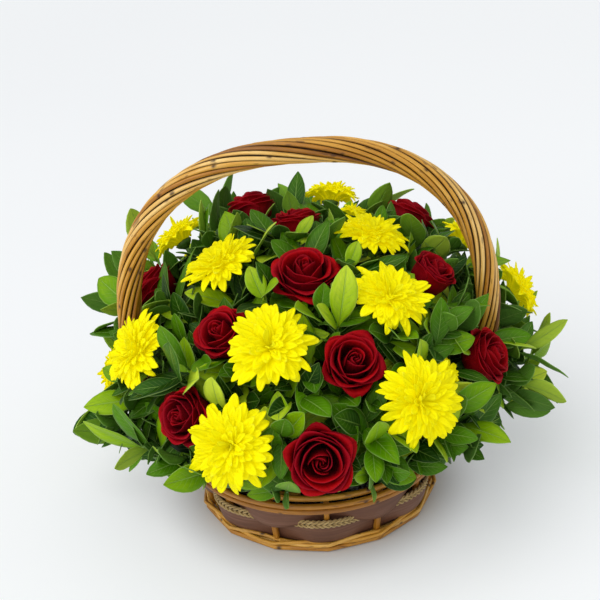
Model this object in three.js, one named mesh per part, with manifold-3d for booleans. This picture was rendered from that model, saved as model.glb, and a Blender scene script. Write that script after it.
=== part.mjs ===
// A round willow basket with a hooped handle, filled with red roses, yellow chrysanthemums and glossy leaves.
// Millimetres, +Z up. The origin is the centre of the basket's flat underside, +X is to the right of a viewer
// who stands in front, and +Y points away from that viewer. The handle stands in the XZ plane.
//
// The basket is woven round upright stakes that grow out of a cross of base spokes: two willow rods at the foot,
// two wide splints with a twisted cord between them, and three rods for the rim. Inside it stand a plastic liner
// and a block of floral foam. Every flower and every leafy branch stands with its own stem in a hole in the foam.

import * as THREE from "three";
import { mergeVertices } from "three/addons/utils/BufferGeometryUtils.js";
import Module from "manifold-3d";

const wasm = await Module();
wasm.setup();

// ---- Driving dimensions ----------------------------------------------------------------------------------------

const GAP = 0.35; // between pieces that touch

const STAKES = 14; // upright stakes, and as many spokes
const STAKE_WIDTH = 4.4;
const STAKE_FOOT_RADIUS = 94; // of the ring of stakes where it leaves the base
const STAKE_TOP_RADIUS = 104; // and at the rim, because the wall flares
const STAKE_TOP = 54; // height of the stakes' tops
const STAKE_TURN = -10.3; // degrees, so that the handle's legs pass between two stakes
const SPOKE_HEIGHT = 3;
const HUB_RADIUS = 15; // the disc where the spokes cross

const BASE_WEAVE = { radius: 90.8, low: SPOKE_HEIGHT + GAP, high: 6.6, ripple: 0.9, rings: 3, sides: 14 };
const ROD = 5.2; // diameter of a willow rod in the foot and the rim
const ROD_SIDES = 4;
const FOOT_HEIGHTS = [ROD / 2, ROD * 1.5 + GAP]; // centres of the two foot rods
const SPLINT = { thick: 1.2, low: [11, 31], high: [25, 45], reach: 3.8 }; // reach is how far it weaves in and out
const CORD = { height: 28, width: 5.4, sides: 4, turns: 8, steps: 64 };
const RIM = [
  { radius: 109.6, height: 47.6 },
  { radius: 109.9, height: 53.2 },
  { radius: 104.2, height: 57.3 },
];

// The hoop's upper half is a superellipse of the power `square`, with fuller shoulders than a circle's. `leave` is
// the angle where it stops being round.
const HOOP = { radius: 148.5, centre: 1.5, height: 166, square: 2.4, leave: -22 };
const LEG = [[87, 7.2], [89, 24], [92.2, 44], [97.2, 63], [113.5, 84]]; // [out, up], from the foot to the hoop
const HANDLE = { radius: 11, tip: 4.1, tipHeight: 62, fullHeight: 105, rods: 7, groove: 0.8, pitch: 280, steps: 32 };

const LINER = { low: 7, high: 56, foot: 80, top: 83, wall: 1 };
const FOAM = { low: LINER.low + LINER.wall + GAP, radius: 77.4, sides: 14 };
const FOAM_DOME = { centre: [0, 0, 50], radius: 80, height: 40, share: 0.75 }; // where the stems go in

const FOCUS = new THREE.Vector3(0, 10, 60); // every flower faces away from this point
const STEM = { in: 22, out: 10, sides: 3 }; // how far a stem runs straight in and out of the foam
const LOOP_CLEAR = { x: 72, y: 16, low: 262, high: 303 }; // the gap under the handle, kept free for a hand

// ---- Where the flowers stand: [azimuth, tilt from vertical, reach from the focus, radius, turn] ----------------

const ROSES = [
  [-90, 18, 180, 28, 10], // the middle of the front
  [-130, 38, 172, 25, 40],
  [-132, 62, 172, 26, 75],
  [-75, 45, 176, 26, 25],
  [-89, 68, 184, 29, 60],
  [-11, 36, 181, 24, 15],
  [-21, 61, 177, 27, 50],
  [163, 49, 185, 26, 85],
  [94, 21, 174, 26, 35], // behind the handle
  [114, 34, 198, 24, 70],
  [48, 45, 203, 24, 5],
  [95, 60, 190, 26, 20], // the back, which mirrors the front
  [148, 70, 184, 26, 45],
  [46, 71, 186, 26, 65],
];

const MUMS = [
  [-104, 41, 186, 37, 0],
  [-112, 65, 187, 37, 12],
  [-59, 59, 184, 37, 5],
  [-50, 33, 184, 34, 17],
  [-163, 23, 180, 33, 8],
  [4, 18, 180, 32, 3],
  [-156, 53, 188, 36, 14],
  [141, 44, 200, 27, 6], // behind the handle
  [77, 37, 201, 26, 10],
  [29, 52, 206, 24, 2],
  [16, 65, 210, 29, 11],
  [68, 61, 194, 30, 4], // the back
  [122, 63, 194, 32, 16],
  [166, 77, 180, 28, 9],
];

// ---- Leaves: each branch forks to the widest gaps that the flowers leave ---------------------------------------

const BRANCHES = { count: 17, forks: 2, room: 13, apart: [14, 44], lowest: 82, samples: 900 }; // angles in degrees
const TWIG = { thick: 1.9, thin: 1.3, reach: 170, short: 30 }; // a twig near the rim in front is this much shorter
const LEAF = { length: 58, width: 27, thick: 1.4, fold: 0.3, arch: 0.14, perTip: 4, apart: 4 };
const LEAN = { first: 30, step: 14, spread: 16 }; // how far the leaves of a whorl lean from their twig, degrees
const TRIES = 26; // for each leaf
const CROSSING = 0.05; // mm3, how much two leaves of one branch may cross
const LEAF_LOWEST = { side: 44, front: 64 }; // no leaf hangs lower than this
const NUDGES = [0, 3, -3, 6, -6, 9, -9, 12, -12, 15, -15].flatMap((turn) => [0, 3, -3, -6].map((dip) => [turn, dip]));

// ---- Materials -------------------------------------------------------------------------------------------------

const finish = (color, roughness) => new THREE.MeshStandardMaterial({ color, roughness, metalness: 0 });
const MATERIALS = {
  willow: finish(0xc08a45, 0.5),
  splint: finish(0x5b3a2a, 0.55),
  cord: finish(0xb8a06a, 0.85),
  liner: finish(0xd8e2ea, 0.25),
  foam: finish(0x2f5a34, 0.95),
  rose: finish(0x9c0a16, 0.6),
  mum: finish(0xffe600, 0.6),
  leaf: finish(0x3d8a1e, 0.4),
};

// ---- Geometry helpers ------------------------------------------------------------------------------------------

const vec = (x, y, z) => new THREE.Vector3(x, y, z);
const radians = THREE.MathUtils.degToRad;
const round = (radius, angle, z) => vec(radius * Math.cos(angle), radius * Math.sin(angle), z);
const ring = (count, at) => Array.from({ length: count }, (_, i) => at((i * 2 * Math.PI) / count, i));

// The direction with a given azimuth round +Z and tilt from it, in degrees.
function towards(azimuth, tilt) {
  return round(Math.sin(radians(tilt)), radians(azimuth), Math.cos(radians(tilt)));
}

// Joins rings of points into one closed skin. A ring of one point is a tip; a longer end ring is capped flat.
// Where one ring has fewer points than the next, each of them is shared by several points of the other.
function loft(rings, closed = false) {
  const points = [];
  const starts = rings.map((r) => points.push(...r) - r.length);
  const faces = [];
  const last = closed ? rings.length : rings.length - 1;
  for (let k = 0; k < last; k++) {
    const next = (k + 1) % rings.length;
    const count = Math.max(rings[k].length, rings[next].length);
    const shared = (ringIndex, n) => starts[ringIndex] + Math.floor((n * rings[ringIndex].length) / count);
    for (let i = 0; i < count; i++) {
      const j = (i + 1) % count;
      const [a, b] = [shared(k, i), shared(k, j)];
      const [c, d] = [shared(next, i), shared(next, j)];
      if (a !== b) faces.push(a, b, d);
      if (c !== d) faces.push(a, d, c);
    }
  }
  if (!closed) {
    for (const k of [0, rings.length - 1]) {
      for (let i = 1; i + 1 < rings[k].length; i++) {
        const [b, c] = k ? [i, i + 1] : [i + 1, i];
        faces.push(starts[k], starts[k] + b, starts[k] + c);
      }
    }
  }
  return new THREE.BufferGeometry().setFromPoints(points).setIndex(faces);
}

// A closed geometry as a solid that can be joined, cut and measured, turned right side out if it has to be.
function solid(geometry) {
  const bare = geometry.clone();
  bare.deleteAttribute("normal");
  bare.deleteAttribute("uv");
  const merged = mergeVertices(bare, 1e-4);
  const triVerts = new Uint32Array(merged.index.array);
  const vertProperties = merged.attributes.position.array;
  const corner = (i) => new THREE.Vector3().fromArray(vertProperties, triVerts[i] * 3);
  let volume = 0;
  for (let i = 0; i < triVerts.length; i += 3) {
    volume += corner(i).dot(corner(i + 1).cross(corner(i + 2)));
  }
  if (volume < 0) triVerts.reverse();
  return new wasm.Manifold(new wasm.Mesh({ numProp: 3, vertProperties, triVerts }));
}

const moved = (body, matrix) => body.transform(matrix.elements);

// A solid as a mesh with flat faces.
function meshOf(name, body, material) {
  const { numProp, vertProperties, triVerts } = body.getMesh();
  const positions = new Float32Array((vertProperties.length / numProp) * 3);
  for (let i = 0; i < positions.length / 3; i++) {
    positions.set(vertProperties.subarray(i * numProp, i * numProp + 3), i * 3);
  }
  const geometry = new THREE.BufferGeometry();
  geometry.setAttribute("position", new THREE.BufferAttribute(positions, 3));
  geometry.setIndex(new THREE.BufferAttribute(triVerts, 1));
  geometry.computeVertexNormals();
  const mesh = new THREE.Mesh(geometry, MATERIALS[material]);
  mesh.name = name;
  return mesh;
}

// A section of points [side, up] set across a path at a point, with `side` and `up` as its axes.
const across = (at, side, up, section) =>
  section.map(([s, u]) => at.clone().addScaledVector(side, s).addScaledVector(up, u));

const polygon = (sides, radius, turn = 0) =>
  ring(sides, (a) => [radius * Math.cos(a + turn), radius * Math.sin(a + turn)]);

// A straight-sided stick through the given points, with a radius at each.
function stick(points, radii, sides) {
  const rings = points.map((at, i) => {
    const before = points[Math.max(i - 1, 0)];
    const after = points[Math.min(i + 1, points.length - 1)];
    const along = after.clone().sub(before).normalize();
    const hint = Math.abs(along.z) > 0.9 ? vec(1, 0, 0) : vec(0, 0, 1);
    const side = new THREE.Vector3().crossVectors(along, hint).normalize();
    const up = new THREE.Vector3().crossVectors(along, side);
    return across(at, side, up, polygon(sides, radii[i]));
  });
  return solid(loft(rings));
}

// Random numbers from 0 to 1 that are the same on every run.
function seeded(seed) {
  let state = seed;
  return () => {
    state = (state * 1664525 + 1013904223) % 4294967296;
    return state / 4294967296;
  };
}

// ---- The basket ------------------------------------------------------------------------------------------------

const stakeRadius = (z) => THREE.MathUtils.mapLinear(z, 0, STAKE_TOP, STAKE_FOOT_RADIUS, STAKE_TOP_RADIUS);

// Spokes that cross at the hub, each turned up at its end into a stake.
function frame() {
  const hub = new THREE.CylinderGeometry(HUB_RADIUS, HUB_RADIUS, SPOKE_HEIGHT, STAKES);
  hub.rotateX(Math.PI / 2).translate(0, 0, SPOKE_HEIGHT / 2);
  let body = solid(hub);
  const half = STAKE_WIDTH / 2;
  for (let k = 0; k < STAKES; k++) {
    const outline = new THREE.Shape([
      new THREE.Vector2(HUB_RADIUS / 2, 0),
      new THREE.Vector2(STAKE_FOOT_RADIUS + half, 0),
      new THREE.Vector2(STAKE_TOP_RADIUS + half, STAKE_TOP),
      new THREE.Vector2(STAKE_TOP_RADIUS - half, STAKE_TOP),
      new THREE.Vector2(STAKE_FOOT_RADIUS - half, SPOKE_HEIGHT),
      new THREE.Vector2(HUB_RADIUS / 2, SPOKE_HEIGHT),
    ]);
    const bar = new THREE.ExtrudeGeometry(outline, { depth: STAKE_WIDTH, bevelEnabled: false });
    bar.rotateX(Math.PI / 2).translate(0, half, 0).rotateZ((k * 2 * Math.PI) / STAKES + radians(STAKE_TURN));
    body = body.add(solid(bar));
  }
  return body;
}

// The woven floor, with the rounds of its weave raised on its underside.
function baseWeave() {
  const { radius, low, high, ripple, rings, sides } = BASE_WEAVE;
  const profile = [new THREE.Vector2(0, high), new THREE.Vector2(radius, high)];
  for (let k = 2 * rings; k >= 0; k--) {
    const r = THREE.MathUtils.lerp(HUB_RADIUS, radius, k / (2 * rings));
    profile.push(new THREE.Vector2(r, low + (k % 2 ? 0 : ripple)));
  }
  profile.push(new THREE.Vector2(0, low + ripple));
  return solid(new THREE.LatheGeometry(profile.reverse(), sides).rotateX(Math.PI / 2));
}

// A closed round whose section, a list of [out, up], is set by the angle from the first stake.
function hoop(steps, radiusAt, heightAt, sectionAt) {
  return solid(loft(ring(steps, (angle) => {
    const out = round(1, angle + radians(STAKE_TURN), 0);
    const at = out.clone().multiplyScalar(radiusAt(angle)).setZ(heightAt(angle));
    return across(at, out, vec(0, 0, 1), sectionAt(angle));
  }), true));
}

// A willow rod bent round the basket. It bows a little between the stakes, as a stiff rod does.
function rod(radius, height, phase) {
  const section = polygon(ROD_SIDES, ROD / 2, Math.PI / 2);
  const wave = (angle) => 0.25 * Math.cos((STAKES / 2) * angle + phase);
  return hoop(2 * STAKES, (a) => radius + wave(a), () => height, () => section);
}

// A wide splint that passes outside one stake and inside the next. `phase` says which comes first.
function splint(row, phase) {
  const [low, high] = [SPLINT.low[row], SPLINT.high[row]];
  const middle = (low + high) / 2;
  const lean = stakeRadius(high) - stakeRadius(middle);
  const half = SPLINT.thick / 2;
  const rise = high - middle;
  const section = [[-half - lean, -rise], [half - lean, -rise], [half + lean, rise], [lean - half, rise]];
  const wave = (angle) => SPLINT.reach * Math.cos((STAKES / 2) * angle + phase);
  return hoop(2 * STAKES, (a) => stakeRadius(middle) + wave(a), () => middle, () => section);
}

// The twisted cord between the splints, outside the stakes. Its section turns as it goes round.
function cord() {
  const radius = stakeRadius(CORD.height) + STAKE_WIDTH / 2 + CORD.width / 2 + GAP;
  const turned = (angle) => polygon(CORD.sides, CORD.width / 2, CORD.turns * angle);
  return hoop(CORD.steps, () => radius, () => CORD.height, turned);
}

// The middle of the hoop at an angle from +X.
function hoopPoint(angle) {
  const [out, up] = [Math.cos(angle), Math.sin(angle)];
  const shoulder = (Math.abs(out) ** HOOP.square + Math.abs(up) ** HOOP.square) ** (-1 / HOOP.square);
  const radius = HOOP.radius * (up > 0 ? shoulder : 1);
  return vec(HOOP.centre + radius * out, 0, HOOP.height + radius * up);
}

// The line of the handle from its right foot, round the hoop, to its left foot.
function handleLine() {
  const leave = radians(HOOP.leave);
  const arc = Array.from({ length: 24 }, (_, i) => leave + ((Math.PI - 2 * leave) * i) / 23);
  const hoopPoints = arc.map(hoopPoint);
  const right = LEG.map(([x, z]) => vec(x, 0, z));
  const left = LEG.map(([x, z]) => vec(-x, 0, z)).reverse();
  return new THREE.CatmullRomCurve3([...right, ...hoopPoints, ...left], false, "centripetal");
}

// A bundle of rods twisted together, thinner where it is let into the wall.
function handle() {
  const path = handleLine();
  path.arcLengthDivisions = 400;
  const length = path.getLength();
  const count = 2 * HANDLE.rods;
  const rings = [];
  for (let k = 0; k <= HANDLE.steps; k++) {
    const t = k / HANDLE.steps;
    const at = path.getPointAt(t);
    const along = path.getTangentAt(t);
    const out = new THREE.Vector3().crossVectors(vec(0, 1, 0), along);
    const full = THREE.MathUtils.smoothstep(at.z, HANDLE.tipHeight, HANDLE.fullHeight);
    const radius = THREE.MathUtils.lerp(HANDLE.tip, HANDLE.radius, full);
    const twist = (2 * Math.PI * t * length) / HANDLE.pitch;
    const section = polygon(count, radius, twist).map(([s, u], i) => {
      const depth = i % 2 ? HANDLE.groove : 1;
      return [s * depth, u * depth];
    });
    rings.push(across(at, out, vec(0, 1, 0), section));
  }
  return solid(loft(rings));
}

function liner() {
  const { low, high, foot, top, wall } = LINER;
  const profile = [[0, low], [foot, low], [top, high], [top - wall, high], [foot - wall, low + wall], [0, low + wall]];
  const shape = new THREE.LatheGeometry(profile.map(([r, z]) => new THREE.Vector2(r, z)), 20);
  return solid(shape.rotateX(Math.PI / 2));
}

// The foam block with a plain hole for each stem.
function foam(holes) {
  const { centre, radius, height } = FOAM_DOME;
  const profile = [new THREE.Vector2(0, FOAM.low), new THREE.Vector2(FOAM.radius, FOAM.low)];
  for (const tilt of [84, 66, 45, 22]) {
    const a = radians(tilt);
    const r = Math.min(radius * Math.sin(a), FOAM.radius);
    profile.push(new THREE.Vector2(r, centre[2] + height * Math.cos(a)));
  }
  profile.push(new THREE.Vector2(0, centre[2] + height));
  const block = solid(new THREE.LatheGeometry(profile, FOAM.sides).rotateX(Math.PI / 2));
  const pieces = block.subtract(wasm.Manifold.union(holes)).decompose();
  return pieces.sort((a, b) => b.volume() - a.volume())[0]; // without the crumbs between two holes that meet
}

// ---- Stems -----------------------------------------------------------------------------------------------------

// Where a stem with this direction goes into the foam: its end there, and the knee where it turns to its flower.
function rooted(azimuth, tilt) {
  const { centre, radius, height, share } = FOAM_DOME;
  const entry = vec(...centre).add(towards(azimuth, tilt * share).multiply(vec(radius, radius, height)));
  const inward = vec(0, 0, centre[2] - 20).sub(entry).normalize();
  return { end: entry.clone().addScaledVector(inward, STEM.in), knee: entry.addScaledVector(inward, -STEM.out) };
}

// The hole that a stem along these points needs in the foam, a little wider and deeper than the stem.
function holeFor(points, thick) {
  const [end, next] = points;
  const bottom = end.clone().add(end.clone().sub(next).setLength(GAP));
  return stick([bottom, ...points.slice(1)], points.map(() => thick + 2 * GAP), STEM.sides);
}

// ---- Flowers, each standing on the origin with its face to +Z --------------------------------------------------

// A rose head as one skin that runs up and down through its rings of petals. In each ring a petal's lip starts
// under the end of the one before it. The skin begins with a flat spot for the stem and the five sepals.
function roseHead(radius, turn) {
  const columns = 15;
  const rows = [
    { petals: 5, lip: 1, top: 0.05, drop: 0.2, valley: 0.62, low: -0.22 },
    { petals: 5, lip: 0.74, top: 0.27, drop: 0.14, valley: 0.42, low: -0.02 },
    { petals: 3, lip: 0.5, top: 0.4, drop: 0.1, valley: 0.27, low: 0.14 },
  ];
  const skin = [ring(5, (a) => round(0.2, a, -0.82))];
  skin.push(ring(columns, (a, i) => (i % 3 === 1 ? round(0.8, a, -0.66) : round(0.42, a, -0.62))));
  rows.forEach(({ petals, lip, top, drop, valley, low }, row) => {
    skin.push(ring(columns, (a, i) => {
      const part = (((i + 2 * row) * petals) / columns) % 1; // how far along its petal this column is
      return round(lip * (0.88 + 0.2 * part), a, top - drop * Math.abs(2 * part - 1));
    }));
    skin.push(ring(row < 2 ? columns : 5, (a) => round(valley, a, low)));
  });
  skin.push(ring(5, (a, i) => round(0.22, a, 0.44 - 0.03 * i)));
  skin.push([vec(0, 0, 0.36)]);
  const matrix = new THREE.Matrix4().makeRotationZ(radians(turn)).scale(vec(radius, radius, radius));
  return solid(loft(skin).applyMatrix4(matrix));
}

// A chrysanthemum head: rings of pointed petals, each ring smaller and steeper than the one below it. The skin
// begins with a flat spot for the stem.
function mumHead(radius, turn) {
  const petals = 10;
  const rows = [
    { tip: 1, notch: 0.62, high: -0.12, valley: 0.5, low: 0 },
    { tip: 0.82, notch: 0.5, high: 0.12, valley: 0.36, low: 0.12 },
    { tip: 0.6, notch: 0.36, high: 0.3, valley: 0.22, low: 0.22 },
    { tip: 0.34, notch: 0.2, high: 0.42, valley: 0, low: 0.34 },
  ];
  const skin = [ring(petals, (a) => round(0.3, a, -0.34))];
  rows.forEach(({ tip, notch, high, valley, low }, row) => {
    const between = THREE.MathUtils.lerp(high, low, 0.4);
    skin.push(ring(2 * petals, (a, i) => (i % 2 === row % 2 ? round(tip, a, high) : round(notch, a, between))));
    skin.push(valley ? ring(petals, (a) => round(valley, a, low)) : [vec(0, 0, low)]);
  });
  const matrix = new THREE.Matrix4().makeRotationZ(radians(turn)).scale(vec(radius, radius, radius));
  return solid(loft(skin).applyMatrix4(matrix));
}

// A whole flower: its head at the given place, and a stem from under the head down into the foam.
function flower(head, [azimuth, tilt, reach], neck, thick) {
  const axis = towards(azimuth, tilt);
  const centre = FOCUS.clone().addScaledVector(axis, reach);
  const turn = new THREE.Quaternion().setFromUnitVectors(vec(0, 0, 1), axis);
  const place = new THREE.Matrix4().compose(centre, turn, vec(1, 1, 1));
  const root = rooted(azimuth, tilt);
  const top = centre.clone().addScaledVector(axis, -neck);
  const line = [root.end, root.knee, top];
  const stem = stick(line, [thick, thick, thick], STEM.sides);
  return { body: moved(head, place).add(stem), holes: [holeFor(line, thick)] };
}

const rose = (row) => flower(roseHead(row[3], row[4]), row, row[3] * 0.7, 2.2);
const mum = (row) => flower(mumHead(row[3], row[4]), row, row[3] * 0.2, 1.9);

// ---- Leaves ----------------------------------------------------------------------------------------------------

// A leaf along +X with its face to +Z: a short stalk, two stations and a pointed tip, folded along its midrib
// and arched along its length. Its section is a bent lens, thickest at the midrib.
function leaf(length, width) {
  const stations = [[0.38, 0.86], [0.7, 1]]; // how far along, and how much of the full width
  const drop = (t) => -LEAF.arch * length * t * t;
  const rings = stations.map(([t, share]) => {
    const half = (width / 2) * share;
    const [x, z, raised] = [t * length, drop(t), half * LEAF.fold];
    return [
      vec(x, half, z + raised),
      vec(x, 0, z + LEAF.thick / 2),
      vec(x, -half, z + raised),
      vec(x, 0, z - LEAF.thick / 2),
    ];
  });
  return solid(loft([[vec(0, 0, 0)], ...rings, [vec(length, 0, drop(1))]]));
}

// A leaf set on a twig at `at`, turned `around` the twig and leaning `lean` degrees away from it.
function placedLeaf(shape, at, axis, around, lean) {
  const upright = new THREE.Quaternion().setFromUnitVectors(vec(0, 0, 1), axis);
  const spin = new THREE.Quaternion().setFromAxisAngle(vec(0, 0, 1), around);
  const tip = new THREE.Quaternion().setFromAxisAngle(vec(0, 1, 0), radians(lean - 90));
  const turn = upright.multiply(spin).multiply(tip);
  return moved(shape, new THREE.Matrix4().compose(at, turn, vec(1, 1, 1)));
}

const boxesMeet = (a, b) =>
  [0, 1, 2].every((i) => a.min[i] - GAP < b.max[i] && b.min[i] - GAP < a.max[i]);

// Solids that are already in place, with a test of whether a new one keeps clear of them.
class Placed {
  entries = [];

  add(body) {
    this.entries.push({ body, box: body.boundingBox() });
  }

  clears(body) {
    const box = body.boundingBox();
    return this.entries.every((e) => !boxesMeet(box, e.box) || body.minGap(e.body, 2 * GAP) >= GAP);
  }
}

// Tries a direction, and then others more and more turned from it, until `make` gives something that is clear
// of what is already in place.
function clearOf(placed, azimuth, tilt, make) {
  for (const [turn, dip] of NUDGES) {
    const made = make(azimuth + turn, tilt + dip);
    if (placed.clears(made.body)) return made;
  }
  return null;
}

// Where the branches fork to: for each of them a few [azimuth, tilt], always the widest gap that is left.
function forkPlaces() {
  const { count, forks, room, apart, lowest, samples } = BRANCHES;
  const golden = 180 * (3 - Math.sqrt(5));
  const places = Array.from({ length: samples }, (_, i) => {
    const tilt = THREE.MathUtils.radToDeg(Math.acos(1 - ((i + 0.5) / samples) * (1 - Math.cos(radians(lowest)))));
    return { azimuth: (i * golden) % 360, tilt, direction: towards(i * golden, tilt) };
  });
  const taken = [...ROSES, ...MUMS].map(([azimuth, tilt, reach, radius]) => {
    return { direction: towards(azimuth, tilt), size: THREE.MathUtils.radToDeg(radius / reach) };
  });
  const between = (a, b) => THREE.MathUtils.radToDeg(a.direction.angleTo(b.direction));
  const widest = (among) => {
    const gap = (place) => Math.min(...taken.map((other) => between(place, other) - other.size));
    const best = among.reduce((a, b) => (gap(b) > gap(a) ? b : a));
    taken.push({ ...best, size: room });
    return best;
  };
  return Array.from({ length: count }, () => {
    const chosen = [widest(places)];
    const near = places.filter((p) => between(p, chosen[0]) > apart[0] && between(p, chosen[0]) < apart[1]);
    while (chosen.length < forks) chosen.push(widest(near));
    return chosen;
  });
}

// How much an angle round +Z faces the front, from 0 to 1.
const inFront = (angle) => Math.max(0, -Math.sin(angle));

// How far a twig reaches. The ones low in front are shorter.
function twigReach(azimuth, tilt) {
  return TWIG.reach - TWIG.short * inFront(radians(azimuth)) * THREE.MathUtils.smoothstep(tilt, 55, 80);
}

// The bare wood of a branch: one stem in the foam that forks to its tips.
function wood(tips, placed) {
  const middle = tips.reduce((sum, tip) => sum.add(tip.direction), vec(0, 0, 0)).normalize();
  const { thick, thin } = TWIG;
  const heading = THREE.MathUtils.radToDeg(Math.atan2(middle.y, middle.x));
  const lean = THREE.MathUtils.radToDeg(Math.acos(middle.z));
  const { root, body: stem } = clearOf(placed, heading, lean, (azimuth, tilt) => {
    const root = rooted(azimuth, tilt);
    return { root, body: stick([root.end, root.knee], [thick, thick], STEM.sides) };
  });
  const forks = tips.map((tip) => clearOf(placed, tip.azimuth, tip.tilt, (azimuth, tilt) => {
    const end = FOCUS.clone().addScaledVector(towards(azimuth, tilt), twigReach(azimuth, tilt));
    const line = [root.knee, end];
    return { end, body: stick(line, [thick, thin], STEM.sides), hole: holeFor(line, thick) };
  })).filter(Boolean);
  const holes = [holeFor([root.end, root.knee], thick), ...forks.map((fork) => fork.hole)];
  return { root, forks, holes, body: wasm.Manifold.union([stem, ...forks.map((fork) => fork.body)]) };
}

// Whether a leaf hangs too low. In front less is allowed, so that the basket shows there.
function tooLow(piece) {
  const { min, max } = piece.boundingBox();
  const azimuth = Math.atan2(min[1] + max[1], min[0] + max[0]);
  return min[2] < THREE.MathUtils.lerp(LEAF_LOWEST.side, LEAF_LOWEST.front, inFront(azimuth));
}

// A leafy branch, with a whorl of leaves at each tip. A leaf that would cross a flower, the basket or another
// leaf is turned, leaned and shortened until it is clear, and left out where there is no room for it.
function branch(tips, placed, random) {
  const { root, forks, holes, body } = wood(tips, placed);
  const either = (width) => (random() - 0.5) * width;
  let leaves = wasm.Manifold.union([]);
  for (const { end } of forks) {
    const axis = end.clone().sub(root.knee).normalize();
    const start = random() * 2 * Math.PI;
    for (let k = 0; k < LEAF.perTip; k++) {
      const at = end.clone().addScaledVector(axis, -1 - k * LEAF.apart);
      for (let attempt = 0; attempt < TRIES; attempt++) {
        const strain = attempt / TRIES;
        const size = (1 + either(0.28)) * (1 - 0.35 * strain);
        const around = start + k * 2.4 + either(3 * strain);
        const lean = LEAN.first + LEAN.step * k + either(LEAN.spread + 80 * strain);
        const shape = leaf(LEAF.length * size, LEAF.width * size * (1 + either(0.2)));
        const piece = placedLeaf(shape, at, axis, around, lean);
        const free = !tooLow(piece) && piece.intersect(leaves).volume() < CROSSING;
        if (free && placed.clears(piece)) {
          leaves = leaves.add(piece);
          break;
        }
      }
    }
  }
  return { body: body.add(leaves), holes };
}

// ---- The whole arrangement -------------------------------------------------------------------------------------

const two = (n) => String(n + 1).padStart(2, "0");

function arrangement() {
  const whole = new THREE.Group();
  const [basket, flowers, foliage] = ["basket", "flowers", "foliage"].map((name) => {
    const group = new THREE.Group();
    group.name = name;
    whole.add(group);
    return group;
  });
  const placed = new Placed();
  const holes = [];
  const put = (group, name, body, material) => {
    group.add(meshOf(name, body, material));
    placed.add(body);
  };

  put(basket, "base_spokes_and_stakes", frame(), "willow");
  put(basket, "base_weave", baseWeave(), "willow");
  FOOT_HEIGHTS.forEach((z, i) => {
    const radius = stakeRadius(z) + STAKE_WIDTH / 2 + ROD / 2 + 3 * GAP;
    put(basket, `foot_rod_${i + 1}`, rod(radius, z, i * Math.PI), "willow");
  });
  put(basket, "splint_lower", splint(0, Math.PI), "splint");
  put(basket, "splint_upper", splint(1, 0), "splint");
  put(basket, "twisted_cord", cord(), "cord");
  RIM.forEach(({ radius, height }, i) => put(basket, `rim_rod_${i + 1}`, rod(radius, height, i), "willow"));
  put(basket, "handle", handle(), "willow");
  put(basket, "liner", liner(), "liner");

  for (const [name, rows, make] of [["rose", ROSES, rose], ["mum", MUMS, mum]]) {
    rows.forEach((row, i) => {
      const { body, holes: cut } = make(row);
      put(flowers, `${name}_${two(i)}`, body, name);
      holes.push(...cut);
    });
  }

  const { x, y, low, high } = LOOP_CLEAR;
  const hand = new THREE.BoxGeometry(2 * x, 2 * y, high - low).translate(0, 0, (low + high) / 2);
  placed.add(solid(hand));
  const random = seeded(7);
  forkPlaces().forEach((tips, i) => {
    const { body, holes: cut } = branch(tips, placed, random);
    put(foliage, `leaf_branch_${two(i)}`, body, "leaf");
    holes.push(...cut);
  });
  put(basket, "foam", foam(holes), "foam");
  return whole;
}

export default arrangement();
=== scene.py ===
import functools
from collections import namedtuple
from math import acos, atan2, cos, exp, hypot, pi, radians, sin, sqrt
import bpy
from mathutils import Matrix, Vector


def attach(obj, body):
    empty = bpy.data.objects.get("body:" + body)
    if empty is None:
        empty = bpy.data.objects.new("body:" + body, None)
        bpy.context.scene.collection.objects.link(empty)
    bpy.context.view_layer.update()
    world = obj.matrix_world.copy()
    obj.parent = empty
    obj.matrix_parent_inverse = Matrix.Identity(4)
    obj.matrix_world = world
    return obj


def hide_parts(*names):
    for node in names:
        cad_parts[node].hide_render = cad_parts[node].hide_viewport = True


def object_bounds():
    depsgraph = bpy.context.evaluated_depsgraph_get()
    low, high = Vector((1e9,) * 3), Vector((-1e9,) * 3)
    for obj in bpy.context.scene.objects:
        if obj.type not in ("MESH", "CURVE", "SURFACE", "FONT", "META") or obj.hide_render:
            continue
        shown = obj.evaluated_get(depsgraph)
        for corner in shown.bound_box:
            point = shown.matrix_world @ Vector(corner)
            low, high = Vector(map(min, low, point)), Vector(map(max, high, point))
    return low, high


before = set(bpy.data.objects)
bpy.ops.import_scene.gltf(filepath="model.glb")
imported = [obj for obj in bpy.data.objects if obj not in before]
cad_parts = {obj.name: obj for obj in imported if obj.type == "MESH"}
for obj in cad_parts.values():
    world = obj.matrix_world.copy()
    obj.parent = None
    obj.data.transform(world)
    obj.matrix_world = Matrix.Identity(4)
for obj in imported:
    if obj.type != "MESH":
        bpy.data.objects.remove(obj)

# A round willow basket with a hooped handle, filled with red roses, yellow chrysanthemums and glossy
# leaves. Metres, in the model's own frame: +Z up, the origin at the centre of the basket's flat underside,
# +X to the right of a viewer who stands in front and +Y away from that viewer. The handle stands in the XZ
# plane.

from types import SimpleNamespace as Group

import bpy
import numpy as np
from mathutils import Matrix, Vector

cad_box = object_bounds()

# ---- Dimensions ----

MM = 0.001
TURN = 2 * pi

STAKES = 14
STAKE_TURN = radians(-10.3)
STAKE_WIDTH = 4.4 * MM
STAKE_FOOT_RADIUS = 94 * MM
STAKE_TOP_RADIUS = 104 * MM
STAKE_TOP = 54 * MM
STAKE_FULL = 6 * MM  # the height from which a stake is as thick as it is wide
SQUARENESS = 5  # the power of the stakes' section
SPOKE_HEIGHT = 3 * MM
SPOKE_RISE = 0.9 * MM  # where the spokes begin to turn up
HUB_RADIUS = 15 * MM
COIL = Group(inner=16 * MM, outer=95 * MM, apart=3.3 * MM, height=4.6 * MM, thick=1.5 * MM, dip=1 * MM)
COIL_POINTS = 56  # in each round

ROD = 5.2 * MM  # diameter of a willow rod
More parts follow.
